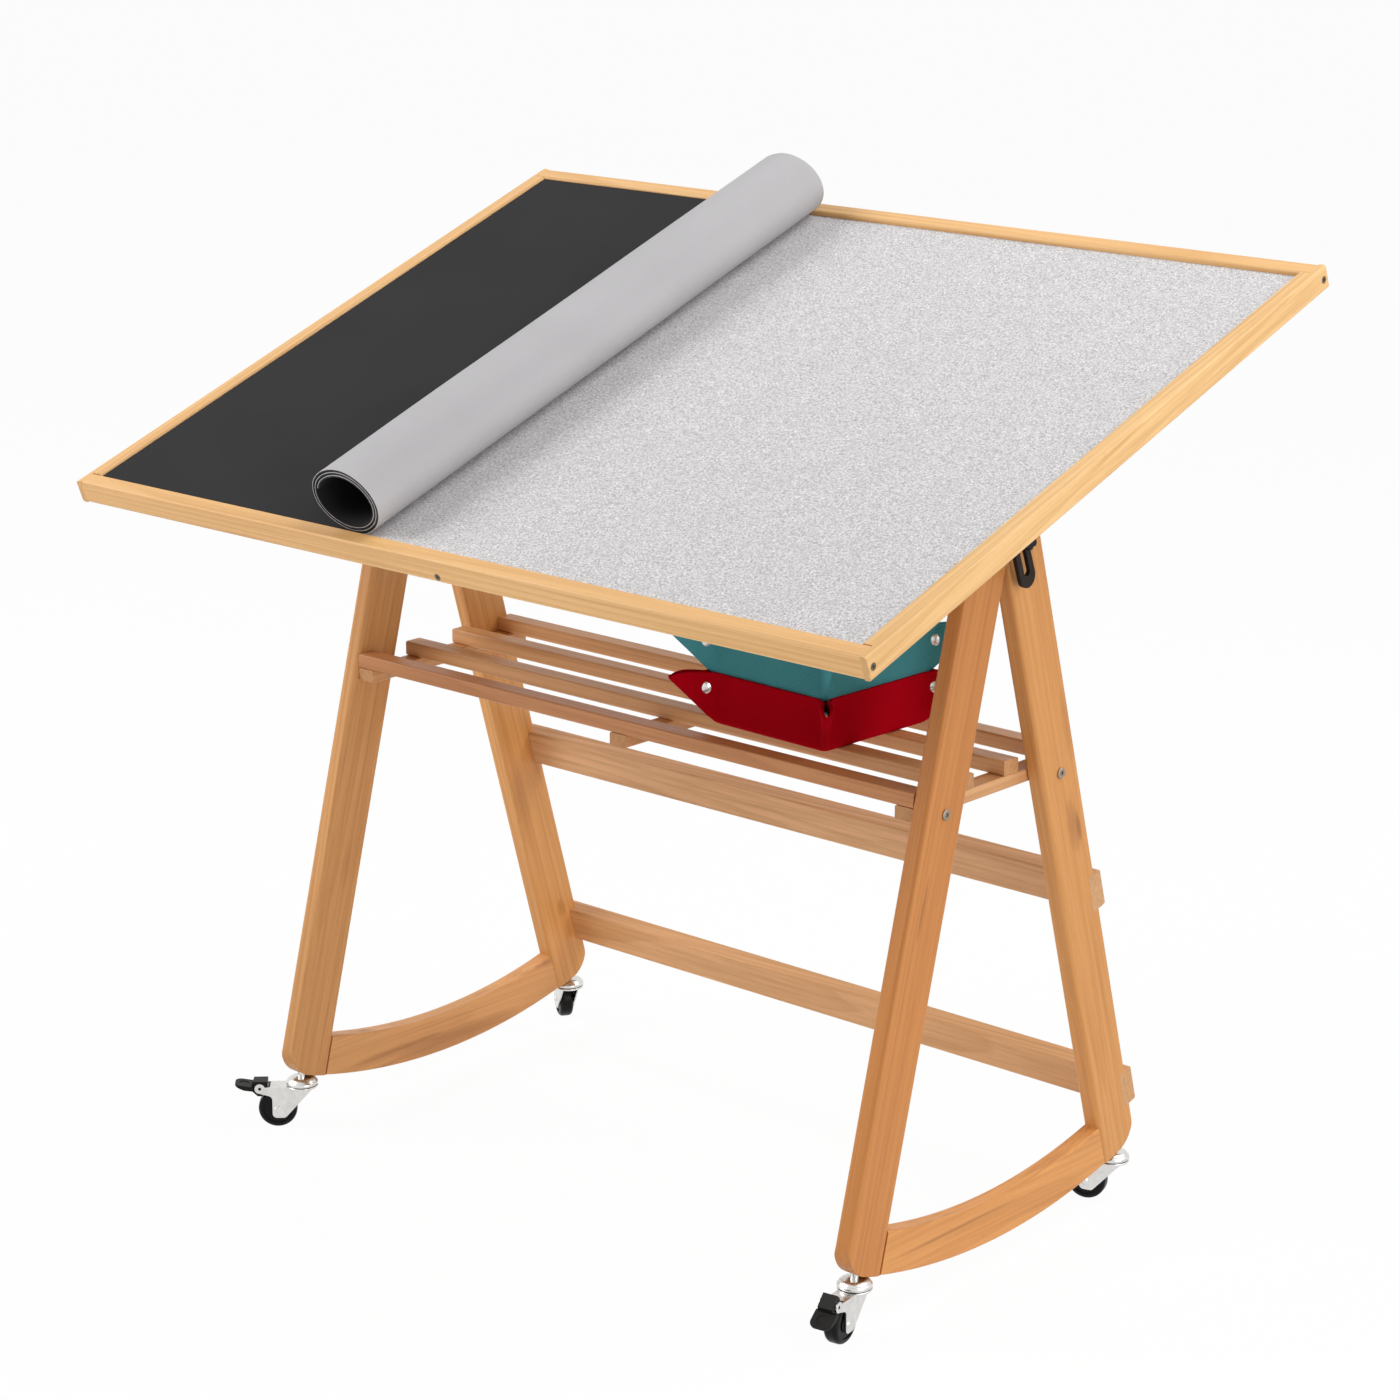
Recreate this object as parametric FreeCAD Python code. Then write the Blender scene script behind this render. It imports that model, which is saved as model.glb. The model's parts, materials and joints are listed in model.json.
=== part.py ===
import FreeCAD, Part
import math
import os

# Tilting jigsaw table on casters: two A-frames, a slatted shelf, a felt board, its cover mat and two trays.
# Millimetres. +Z is up, the front faces -Y, and +X is to the right of someone standing in front.

# Board: a felt-faced panel in a wooden frame, tilted about the clamp bolts
board_width = 950.0
board_depth = 668.0
board_tilt_deg = 20.0
rail_thick = 17.0
rail_tall = 22.0
rail_ease = 2.5
corner_lip = 6.5
felt_drop = 4.0
felt_thick = 2.0
panel_thick = 5.0
panel_tongue = 5.0
batten_wide = 34.0
centre_batten_wide = 30.0
felt_gap = 0.3

# Wood screws with flush heads, used all over
screw_head_radius = 3.4
screw_head_deep = 2.0
screw_shank_radius = 1.8
screw_recess_wide = 0.9
screw_recess_deep = 1.1
rail_screw_long = 34.0
rail_screw_drop = 11.5
rail_screw_inset = 6.0
batten_screw_long = 40.0
stretcher_screw_long = 40.0
stretcher_screw_spread = 18.0
slat_screw_long = 22.0
bracket_screw_long = 9.0

# Tilt bracket: a slotted plate fixed under the board, outside each A-frame
bracket_place = 317.0
bracket_wide = 20.5
bracket_thick = 4.0
bracket_reach = 142.0
bracket_flange_thick = 3.0
bracket_flange_long = 86.0
bracket_screw_inset = 12.0
slot_wide = 8.0
slot_low = 131.0
slot_high = 62.0
bolt_drop = 94.0

# Clamp: bolt, slot slider, washer and knob
bolt_height = 675.0
bolt_offset = -8.0
bolt_radius = 3.0
bolt_head_radius = 8.0
bolt_head_tall = 3.2
spacer_thick = 8.0
spacer_radius = 10.0
slider_long = 10.0
washer_radius = 8.0
washer_thick = 1.5
knob_radius = 8.6
knob_thick = 11.0
knob_flutes = 6
knob_flute_radius = 2.7
knob_flute_reach = 9.9
knob_ease = 1.5
knob_cap = 2.4
fit_gap = 0.05
side_gap = 0.1

# A-frames: two flat legs halved together at the top and a curved rail at the foot
frame_inset = 114.0
leg_thick = 18.0
leg_wide = 50.0
leg_ease = 3.5
front_foot = -191.1
rear_foot = 187.6
front_head = -27.66
rear_head = 11.31
seat_height = 52.0
head_rise = 34.0
head_corner_radius = 18.0
foot_corner_radius = 28.0
sway_drop = 26.0
seat_flat = 4.8
sway_wide = 40.0
sway_ease = 2.5
dowel_radius = 4.0
dowel_long = 30.0

# Stretchers, let into the back edges of the rear legs
stretcher_tall = 36.0
stretcher_thick = 18.0
stretcher_proud = 8.0
stretcher_ease = 2.0
mid_stretcher_height = 321.3
low_stretcher_height = 114.8

# Slatted shelf
shelf_top = 466.0
slat_thick = 14.0
slat_wide = 20.0
slat_count = 4
slat_ease = 2.0
bearer_tall = 12.0
bearer_wide = 20.0
bearer_ease = 1.5
shelf_front = -109.5
shelf_rear = 101.0
shelf_bolt_radius = 3.0
shelf_bolt_head_radius = 5.0
shelf_bolt_head_tall = 1.8
shelf_bolt_socket_radius = 2.0
shelf_bolt_socket_deep = 1.2

# Casters
caster_trail = 24.0
wheel_radius = 19.0
wheel_wide = 14.0
wheel_ease = 4.0
hub_radius = 8.0
hub_sink = 1.0
axle_radius = 2.5
axle_head_radius = 4.0
axle_head_tall = 1.2
fork_inner = 7.6
fork_sheet = 1.4
fork_top = 42.5
fork_back = 12.6
fork_web = 2.0
fork_web_end = 31.0
fork_race_radius = 15.6
fork_race_ease = 0.8
fork_ease = 4.5
fork_toe = 5.0
fork_heel = 8.5
fork_end_back = 7.5
fork_rise = 9.0
fork_ear_radius = 5.0
fork_ear_rise = 3.5
head_radius = 15.8
head_rim = 43.0
head_edge = 1.0
head_waist = 1.8
head_shoulder_radius = 14.6
head_shoulder_tall = 4.2
head_bend_radius = 12.6
head_bend_tall = 6.35
head_crown_radius = 9.4
head_tall = 7.4
stem_radius = 4.0
stem_long = 28.0
kingpin_head_radius = 6.5
kingpin_head_tall = 1.5
kingpin_gap = 0.2
front_left_heading_deg = -136.0
front_right_heading_deg = -81.0
rear_left_heading_deg = 146.0
rear_right_heading_deg = -163.0

# Brake pedals on the front casters, measured from their pivots; the right one is pressed
pedal_pivot_reach = 41.0
pedal_pin_radius = 1.5
pedal_gap = 0.3
pedal_back = 7.5
pedal_back_low = 2.4
pedal_top = 6.9
pedal_cam_half = 2.2
pedal_cam_drop = 8.2
pedal_cam_back = 5.0
pedal_cam_rise = 2.0
pedal_step = 2.0
tongue_wide = 21.0
tongue_near = 6.2
tongue_far = 24.4
tongue_top = 2.2
tongue_lift = 3.0
tongue_tip_low = 2.6
tongue_bend = 15.0
tongue_bend_drop = 1.2
tongue_low = 2.4
tongue_round = 7.0
tongue_ease = 0.8
tongue_dish_radius = 5.0
tongue_dish = 0.5
front_left_press_deg = 0.0
front_right_press_deg = 45.0

# Cover mat, rolled back from the right
mat_thick = 2.0
mat_gap = 0.1
mat_edge_gap = 1.0
roll_centre = 360.0
roll_wide = 84.0
roll_tall = 66.0
roll_pitch = 3.0
roll_half_turn_count = 5

# Felt trays with snapped corners, one nested in the other
tray_base = 139.0
tray_tall = 50.0
tray_flare = 3.25
tray_felt = 2.5
tray_nest_gap = 0.35
tray_stand_gap = 0.2
tray_right = 144.4
tray_back = 4.1
tray_turn_deg = -2.5
ear_root_share = 0.13
ear_tip_reach_share = 0.78
ear_tip_height_share = 0.81
ear_crest_reach_share = 0.6125
ear_crest_height_share = 0.9498
ear_shoulder_share = 0.40
snap_radius = 6.0
snap_edge = 0.5
snap_proud = 2.0
snap_reach_share = 0.10
snap_height_share = 0.68

# One overrun serves every cut
overrun = 30.0

Vector = FreeCAD.Vector
X_AXIS = Vector(1, 0, 0)
Y_AXIS = Vector(0, 1, 0)
Z_AXIS = Vector(0, 0, 1)
ORIGIN = Vector(0, 0, 0)

frame_outer = board_width / 2 - frame_inset
frame_inner = frame_outer - leg_thick
frame_middle = frame_outer - leg_thick / 2
sway_low = seat_height - sway_drop
sway_half_chord = (rear_foot - front_foot) / 2 - seat_flat
sway_middle = (front_foot + rear_foot) / 2
sway_radius = (sway_half_chord ** 2 + sway_drop ** 2) / (2 * sway_drop)
tilt = math.radians(board_tilt_deg)
leg_rise = bolt_height - seat_height
front_lean = math.atan((front_head - front_foot) / leg_rise)
rear_lean = math.atan((rear_foot - rear_head) / leg_rise)
pedal_pivot_height = fork_top - fork_ear_radius + fork_ear_rise


def placement(along_x, along_y, along_z, at):
    """Rigid move that lays local X, Y and Z along three directions at a point."""
    matrix = FreeCAD.Matrix(
        along_x.x, along_y.x, along_z.x, at.x,
        along_x.y, along_y.y, along_z.y, at.y,
        along_x.z, along_y.z, along_z.z, at.z,
        0, 0, 0, 1)
    return FreeCAD.Placement(matrix)


def moved(shape, place):
    """A copy of the shape carried by a placement."""
    copy = shape.copy()
    copy.Placement = place.multiply(copy.Placement)
    return copy


def shifted(shape, by):
    """A copy of the shape moved by a vector."""
    copy = shape.copy()
    copy.translate(by)
    return copy


def mirrored(shape):
    """The shape's twin on the other side of the table."""
    return shape.mirror(ORIGIN, X_AXIS)


def box(low, high):
    """Block between two corners."""
    size = high - low
    return Part.makeBox(size.x, size.y, size.z, low)


def rod(radius, start, direction, length):
    """Round bar from a point along a direction."""
    return Part.makeCylinder(radius, length, start, direction)


def polygon_prism(points, along):
    """Prism on a closed flat outline, swept along a vector."""
    return Part.Face(Part.makePolygon(points + points[:1])).extrude(along)


def plain_bar(wide, tall, length, place):
    """Straight square-edged bar: wide along local X, tall along Y, its length from 0 along Z."""
    return moved(Part.makeBox(wide, tall, length, Vector(-wide / 2, -tall / 2, 0)), place)


def eased_bar(wide, tall, length, ease, place):
    """The same bar with its long edges rounded."""
    bar = Part.makeBox(wide, tall, length, Vector(-wide / 2, -tall / 2, 0))
    corners = [e for e in bar.Edges if e.tangentAt(e.FirstParameter).cross(Z_AXIS).Length < fit_gap]
    return moved(bar.makeFillet(min(ease, wide / 2 - fit_gap, tall / 2 - fit_gap), corners), place)


def edges_near(shape, direction, point):
    """Straight edges along a direction whose line passes through a point."""
    found = []
    for edge in shape.Edges:
        if not isinstance(edge.Curve, Part.Line):
            continue
        start = edge.Vertexes[0].Point
        run = edge.Vertexes[-1].Point - start
        if run.Length < fit_gap or run.normalize().cross(direction).Length > fit_gap:
            continue
        if (point - start).cross(direction).Length < fit_gap:
            found.append(edge)
    return found


def cut_all(shape, tools):
    """The shape less every tool."""
    for tool in tools:
        shape = shape.cut(tool)
    return shape


def screw(head, direction, length):
    """Countersunk wood screw with a cross recess: head is the middle of its flush face."""
    cone = Part.makeCone(screw_head_radius, screw_shank_radius, screw_head_deep, head, direction)
    shank = rod(screw_shank_radius, head, direction, length)
    return cone.fuse(shank).removeSplitter()


def recessed(screw_shape, head, direction):
    """The screw with its cross recess cut into the head."""
    side = direction.cross(X_AXIS)
    if side.Length < fit_gap:
        side = direction.cross(Y_AXIS)
    side.normalize()
    other = direction.cross(side)
    reach = screw_shank_radius
    for along, across in ((side, other), (other, side)):
        place = placement(along, across, along.cross(across), head)
        slot = Part.makeBox(2 * reach, screw_recess_wide, 2 * screw_recess_deep,
                            Vector(-reach, -screw_recess_wide / 2, -screw_recess_deep))
        screw_shape = screw_shape.cut(moved(slot, place))
    return screw_shape


class Screws:
    """A set of like screws: plain ones to cut the wood with, recessed ones to show."""

    def __init__(self):
        self.tools = []
        self.shown = []

    def add(self, head, direction, length):
        plain = screw(head, direction, length)
        self.tools.append(plain)
        self.shown.append(recessed(plain, head, direction))

    def group(self):
        return Part.makeCompound(self.shown)


parts = {}

# Board frame: local X across, Y up the slope from the front edge, Z off the rail tops
slope = Vector(0, math.cos(tilt), math.sin(tilt))
lift = Vector(0, -math.sin(tilt), math.cos(tilt))
bolt_point = Vector(0, bolt_offset, bolt_height)
board_corner = bolt_point - slope * bracket_place + lift * bolt_drop
ON_BOARD = placement(X_AXIS, slope, lift, board_corner)
half_width = board_width / 2
inner_half_width = half_width - rail_thick
inner_depth = board_depth - 2 * rail_thick
panel_top = -felt_drop - felt_thick
panel_under = panel_top - panel_thick


def board_rails(rail_screws):
    """The four rails: the side rails run the full depth and take the others in end rabbets."""
    panel = box(Vector(-inner_half_width - panel_tongue, rail_thick - panel_tongue, panel_under),
                Vector(inner_half_width + panel_tongue, board_depth - rail_thick + panel_tongue, panel_top))
    rail_middle = Vector(half_width - rail_thick / 2, 0, -rail_tall / 2)
    up_slope = placement(X_AXIS, Z_AXIS * -1, Y_AXIS, rail_middle)
    side = eased_bar(rail_thick, rail_tall, board_depth, rail_ease, up_slope)
    for low_end, high_end in ((-overrun, rail_thick), (board_depth - rail_thick, board_depth + overrun)):
        side = side.cut(box(Vector(inner_half_width - overrun, low_end, -rail_tall - overrun),
                            Vector(half_width - corner_lip, high_end, overrun)))
    across_long = board_width - 2 * corner_lip
    across = placement(Y_AXIS, Z_AXIS, X_AXIS, Vector(-across_long / 2, rail_thick / 2, -rail_tall / 2))
    front = eased_bar(rail_thick, rail_tall, across_long, rail_ease, across)
    rear = shifted(front, Vector(0, board_depth - rail_thick, 0))
    for end in (rail_screw_inset, board_depth - rail_screw_inset):
        for hand in (-1, 1):
            head = Vector(hand * half_width, end, -rail_screw_drop)
            rail_screws.add(head, X_AXIS * -hand, rail_screw_long)
    batten_drop = (panel_under - rail_tall) / 2
    rail_screws.add(Vector(0, 0, batten_drop), Y_AXIS, batten_screw_long)
    rail_screws.add(Vector(0, board_depth, batten_drop), Y_AXIS * -1, batten_screw_long)
    cuts = [panel] + rail_screws.tools
    parts["side_rail_right"] = cut_all(side, cuts)
    parts["side_rail_left"] = cut_all(mirrored(side), cuts)
    parts["front_rail"] = cut_all(front, cuts)
    parts["rear_rail"] = cut_all(rear, cuts)
    parts["board_panel"] = panel


def board_inside(rail_screws, bracket_screws):
    """Felt on top of the panel, and the battens under it."""
    felt_half = inner_half_width - felt_gap
    felt_end = rail_thick + felt_gap
    parts["felt_surface"] = box(Vector(-felt_half, felt_end, panel_top),
                                Vector(felt_half, board_depth - felt_end, -felt_drop))
    centre = box(Vector(-centre_batten_wide / 2, rail_thick, -rail_tall),
                 Vector(centre_batten_wide / 2, board_depth - rail_thick, panel_under))
    parts["centre_batten"] = cut_all(centre, rail_screws.tools)
    bracket_in = frame_outer + spacer_thick
    batten = box(Vector(bracket_in, rail_thick, -rail_tall),
                 Vector(bracket_in + batten_wide, board_depth - rail_thick, panel_under))
    parts["bracket_batten_right"] = cut_all(batten, bracket_screws.tools)
    parts["bracket_batten_left"] = cut_all(mirrored(batten), bracket_screws.tools)


def tilt_brackets(bracket_screws):
    """Slotted plates that hang square to the board, with a flange screwed to the side battens."""
    inner = frame_outer + spacer_thick
    half = bracket_wide / 2
    plate = box(Vector(inner, bracket_place - half, -bracket_reach + half),
                Vector(inner + bracket_thick, bracket_place + half, -rail_tall))
    tip = rod(half, Vector(inner, bracket_place, -bracket_reach + half), X_AXIS, bracket_thick)
    flange = box(Vector(inner, bracket_place - bracket_flange_long / 2, -rail_tall - bracket_flange_thick),
                 Vector(inner + batten_wide, bracket_place + bracket_flange_long / 2, -rail_tall))
    bracket = plate.fuse(tip).fuse(flange).removeSplitter()
    slot_half = slot_wide / 2
    slot = box(Vector(inner - overrun, bracket_place - slot_half, -slot_low + slot_half),
               Vector(inner + overrun, bracket_place + slot_half, -slot_high - slot_half))
    for end in (slot_low - slot_half, slot_high + slot_half):
        slot = slot.fuse(rod(slot_half, Vector(inner - overrun, bracket_place, -end), X_AXIS, 2 * overrun))
    bracket = bracket.cut(slot)
    for hand in (-1, 1):
        for end in (-1, 1):
            along = bracket_place + end * (bracket_flange_long / 2 - bracket_screw_inset)
            head = Vector(hand * (inner + batten_wide / 2), along, -rail_tall - bracket_flange_thick)
            bracket_screws.add(head, Z_AXIS, bracket_screw_long)
    parts["tilt_bracket_right"] = cut_all(bracket, bracket_screws.tools)
    parts["tilt_bracket_left"] = cut_all(mirrored(bracket), bracket_screws.tools)


def cover_mat():
    """Two-ply mat: flat from the left rail to the roll, then wound up in flattened turns."""
    floor = -felt_drop + mat_gap
    middle = floor + mat_thick / 2
    straight = (roll_wide - roll_tall) / 2
    centre = roll_centre - half_width
    radius = (roll_tall - mat_thick) / 2
    left_edge = -inner_half_width + mat_edge_gap

    def side_of_mat(offset):
        """Edges of one face of the mat, offset from its middle, from the flat end to the rolled end."""
        edges = []
        start = Vector(left_edge, 0, middle - offset)
        corner = Vector(centre + straight, 0, middle - offset)
        edges.append(Part.LineSegment(start, corner).toShape())
        level = middle
        for turn in range(roll_half_turn_count):
            hand = 1 if turn % 2 == 0 else -1
            arc_radius = radius - turn * roll_pitch / 2
            hub = Vector(centre + hand * straight, 0, level + hand * arc_radius)
            reach = arc_radius + offset
            begin = hub - Vector(0, 0, hand * reach)
            side = hub + Vector(hand * reach, 0, 0)
            end = hub + Vector(0, 0, hand * reach)
            edges.append(Part.Arc(begin, side, end).toShape())
            level = level + hand * 2 * arc_radius
            run_end = end - Vector(hand * 2 * straight, 0, 0)
            edges.append(Part.LineSegment(end, run_end).toShape())
        return edges

    outer = side_of_mat(mat_thick / 2)
    inner = side_of_mat(-mat_thick / 2)
    flat_cap = Part.LineSegment(inner[0].Vertexes[0].Point, outer[0].Vertexes[0].Point).toShape()
    roll_cap = Part.LineSegment(outer[-1].Vertexes[-1].Point, inner[-1].Vertexes[-1].Point).toShape()
    outline = Part.Wire(Part.__sortEdges__(outer + [roll_cap] + inner + [flat_cap]))
    depth = inner_depth - 2 * mat_edge_gap
    sheet = Part.Face(outline).extrude(Vector(0, depth, 0))
    length = sum(e.Length for e in outer + inner) / 2
    print("cover mat flat size", round(length, 1), "by", round(depth, 1))
    return shifted(sheet, Vector(0, rail_thick + mat_edge_gap, 0))


def leg_line(foot, lean, height):
    """Where a leg's centre line is at a height; a positive lean goes back on the way up."""
    return foot + (height - seat_height) * math.tan(lean)


def leg_strip(foot, lean):
    """A leg's bar on the right-hand frame, eased and plain, cut level at the head and long at the foot."""
    along = Vector(0, math.sin(lean), math.cos(lean))
    across = Vector(0, math.cos(lean), -math.sin(lean))
    start = Vector(frame_middle, foot, seat_height) - along * 2 * overrun
    length = (bolt_height + head_rise - seat_height) / math.cos(lean) + 4 * overrun
    place = placement(across, X_AXIS * -1, along, start)
    above = box(Vector(frame_inner - overrun, -board_depth, bolt_height + head_rise),
                Vector(frame_outer + overrun, board_depth, bolt_height + board_depth))
    eased = eased_bar(leg_wide, leg_thick, length, leg_ease, place)
    plain = plain_bar(leg_wide, leg_thick, length, place)
    return eased.cut(above), plain.cut(above)


def outer_corner(foot, lean, hand, height):
    """The point where a leg's outer edge meets a level, on the inner face."""
    edge = leg_line(foot, lean, height) + hand * leg_wide / (2 * math.cos(lean))
    return Vector(frame_inner, edge, height)


def corner_cutter(corner, lean, hand, radius, up):
    """What rounding a leg's outer corner takes away; up is 1 at the head and -1 at the foot."""
    along = Vector(0, math.sin(lean), math.cos(lean)) * -up
    level = Vector(0, -hand, 0)
    half_angle = along.getAngle(level) / 2
    reach = radius / math.tan(half_angle)
    middle_way = (along + level).normalize()
    hub = corner + middle_way * (radius / math.sin(half_angle))
    wedge = polygon_prism([corner, corner + along * reach, hub, corner + level * reach], X_AXIS * leg_thick)
    return wedge.cut(rod(radius, hub, X_AXIS, leg_thick))


def rounded_ends(foot, lean, hand):
    """What rounds a leg's outer corners, at the head and at the foot."""
    head = outer_corner(foot, lean, hand, bolt_height + head_rise)
    toe = outer_corner(foot, lean, hand, seat_height)
    return [corner_cutter(head, lean, hand, head_corner_radius, 1),
            corner_cutter(toe, lean, hand, foot_corner_radius, -1)]


def sway_disc(radius):
    """Round plate about the centre of the curved rail, across the right-hand frame."""
    hub = Vector(frame_inner - overrun, sway_middle, sway_low + sway_radius)
    return rod(radius, hub, X_AXIS, leg_thick + 2 * overrun)


def a_frame(stretchers, tools):
    """Front leg, rear leg and curved rail of the right-hand frame."""
    front, plain_front = leg_strip(front_foot, front_lean)
    rear, plain_rear = leg_strip(rear_foot, -rear_lean)
    reach = Vector(0, board_depth, bolt_height + board_depth)
    outer_half = box(Vector(frame_middle, -reach.y, 0), Vector(frame_outer + overrun, reach.y, reach.z))
    inner_half = box(Vector(frame_inner - overrun, -reach.y, 0), Vector(frame_middle, reach.y, reach.z))
    under_seat = box(Vector(frame_inner - overrun, -reach.y, -reach.z),
                     Vector(frame_outer + overrun, reach.y, seat_height))
    under_foot = under_seat.cut(sway_disc(sway_radius))
    front = front.cut(plain_rear.common(outer_half)).cut(under_foot)
    rear = rear.cut(plain_front.common(inner_half)).cut(under_foot)
    front = cut_all(front, rounded_ends(front_foot, front_lean, -1))
    rear = cut_all(rear, rounded_ends(rear_foot, -rear_lean, 1))
    band = sway_disc(sway_radius).cut(sway_disc(sway_radius - sway_wide))
    below_band = box(Vector(frame_inner, front_foot, 0),
                     Vector(frame_outer, rear_foot, seat_height + sway_wide))
    sway = band.common(below_band).cut(plain_front).cut(plain_rear)
    long_arcs = [e for e in sway.Edges if isinstance(e.Curve, Part.Circle)]
    sway = sway.makeFillet(sway_ease, long_arcs)
    dowels = frame_dowels()
    cuts = tools + dowels
    front = cut_all(front, cuts)
    rear = cut_all(rear, cuts + stretchers)
    sway = cut_all(sway, dowels)
    return front, rear, sway, dowels


def frame_dowels():
    """Dowels that join the curved rail to the legs, along the middle of the rail."""
    middle = sway_radius - sway_wide / 2
    dowels = []
    for foot, lean, hand in ((front_foot, front_lean, 1), (rear_foot, -rear_lean, -1)):
        edge = leg_line(foot, lean, seat_height) + hand * leg_wide / (2 * math.cos(lean))
        turn = math.asin((edge - sway_middle) / middle)
        at = Vector(frame_middle, edge, sway_low + sway_radius - middle * math.cos(turn))
        along = Vector(0, math.cos(turn), math.sin(turn))
        dowels.append(rod(dowel_radius, at - along * dowel_long / 2, along, dowel_long))
    return dowels


def stretcher(height, screws):
    """Cross rail let into the back edges of both rear legs, at a height on that edge."""
    along = Vector(0, -math.sin(rear_lean), math.cos(rear_lean))
    back = Vector(0, math.cos(rear_lean), math.sin(rear_lean))
    edge = Vector(0, leg_line(rear_foot, -rear_lean, height) + leg_wide / (2 * math.cos(rear_lean)), height)
    right_end = edge + back * (stretcher_proud - stretcher_thick / 2) + X_AXIS * frame_outer
    place = placement(along, back, X_AXIS * -1, right_end)
    bar = eased_bar(stretcher_tall, stretcher_thick, 2 * frame_outer, stretcher_ease, place)
    for hand in (-1, 1):
        for end in (-1, 1):
            head = edge + back * stretcher_proud + X_AXIS * hand * frame_middle
            screws.add(head + along * end * stretcher_screw_spread / 2, back * -1, stretcher_screw_long)
    return bar


def shelf(screws, bolts):
    """Slats across the frames on three bearers, the outer two bolted to the legs."""
    slat_under = shelf_top - slat_thick
    bearer_under = slat_under - bearer_tall
    pitch = (shelf_rear - shelf_front - slat_wide) / (slat_count - 1)
    bearer_out = frame_inner - bearer_wide / 2
    bearer_mids = {"left": -bearer_out, "middle": 0, "right": bearer_out}
    for number in range(slat_count):
        middle = shelf_front + slat_wide / 2 + number * pitch
        for across in bearer_mids.values():
            screws.add(Vector(across, middle, bearer_under), Z_AXIS, slat_screw_long)
    for number in range(slat_count):
        middle = shelf_front + slat_wide / 2 + number * pitch
        place = placement(Y_AXIS, Z_AXIS, X_AXIS, Vector(-frame_inner, middle, shelf_top - slat_thick / 2))
        slat = eased_bar(slat_wide, slat_thick, 2 * frame_inner, slat_ease, place)
        parts["shelf_slat_%d" % (number + 1)] = cut_all(slat, screws.tools)
    for name, across in bearer_mids.items():
        start = Vector(across, shelf_front, slat_under - bearer_tall / 2)
        place = placement(X_AXIS, Z_AXIS * -1, Y_AXIS, start)
        bearer = eased_bar(bearer_wide, bearer_tall, shelf_rear - shelf_front, bearer_ease, place)
        parts["shelf_bearer_" + name] = cut_all(bearer, screws.tools + bolts)


def shelf_bolts():
    """Bolts through the legs into the outer bearers, plain for cutting and socketed to show."""
    height = shelf_top - slat_thick - bearer_tall / 2
    plain = []
    shown = []
    for foot, lean in ((front_foot, front_lean), (rear_foot, -rear_lean)):
        at = Vector(frame_outer, leg_line(foot, lean, height), height)
        shank = rod(shelf_bolt_radius, at, X_AXIS * -1, leg_thick + bearer_wide)
        head = rod(shelf_bolt_head_radius, at, X_AXIS, shelf_bolt_head_tall)
        rim = round_edges(head, frame_outer + shelf_bolt_head_tall)
        head = head.makeFillet(shelf_bolt_head_tall / 2, rim)
        socket_at = at + X_AXIS * (shelf_bolt_head_tall - shelf_bolt_socket_deep)
        socket = rod(shelf_bolt_socket_radius, socket_at, X_AXIS, overrun)
        plain.append(shank)
        shown.append(head.fuse(shank).removeSplitter().cut(socket))
    return plain, shown


def round_edges(shape, across):
    """The shape's circles that lie at one place across the table."""
    circles = [e for e in shape.Edges if isinstance(e.Curve, Part.Circle)]
    return [e for e in circles if abs(e.Curve.Center.x - across) < fit_gap]


def clamp():
    """Bolt, slot slider, washer and knob of the right-hand side."""
    at = Vector(frame_outer, bolt_point.y, bolt_point.z)
    bracket_in = frame_outer + spacer_thick
    bracket_out = bracket_in + bracket_thick
    washer_out = bracket_out + side_gap + washer_thick
    knob_in = washer_out + side_gap
    bolt_end = knob_in + knob_thick - knob_cap - side_gap
    inside = Vector(frame_inner, at.y, at.z)
    shank = rod(bolt_radius, inside, X_AXIS, bolt_end - frame_inner)
    bolt_head = rod(bolt_head_radius, inside, X_AXIS * -1, bolt_head_tall)
    rim = round_edges(bolt_head, frame_inner - bolt_head_tall)
    bolt = shank.fuse(bolt_head.makeFillet(bolt_head_tall / 2, rim)).removeSplitter()
    spacer = rod(spacer_radius, at + X_AXIS * side_gap, X_AXIS, spacer_thick - 2 * side_gap)
    tongue_wide = slot_wide - 2 * fit_gap
    tongue = Part.makeBox(bracket_thick + side_gap, tongue_wide, slider_long,
                          Vector(0, -tongue_wide / 2, -slider_long / 2))
    tongue = moved(tongue, placement(X_AXIS, slope, lift, at + X_AXIS * (spacer_thick - side_gap)))
    slider = spacer.fuse(tongue).removeSplitter()
    slider = slider.cut(rod(bolt_radius + fit_gap, inside, X_AXIS, bolt_end - frame_inner))
    washer = rod(washer_radius, Vector(bracket_out + side_gap, at.y, at.z), X_AXIS, washer_thick)
    washer = washer.cut(shank)
    knob_at = Vector(knob_in, at.y, at.z)
    knob = rod(knob_radius, knob_at, X_AXIS, knob_thick)
    for number in range(knob_flutes):
        turn = 2 * math.pi * number / knob_flutes
        flute = knob_at + Vector(0, math.cos(turn), math.sin(turn)) * knob_flute_reach
        knob = knob.cut(rod(knob_flute_radius, flute, X_AXIS, knob_thick))
    face_edges = [e for e in knob.Edges if e.BoundBox.XMin > knob_in + knob_thick - fit_gap]
    knob = knob.makeFillet(knob_ease, face_edges)
    knob = knob.cut(rod(bolt_radius + fit_gap, knob_at, X_AXIS, knob_thick - knob_cap))
    return bolt, slider, washer, knob


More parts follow.
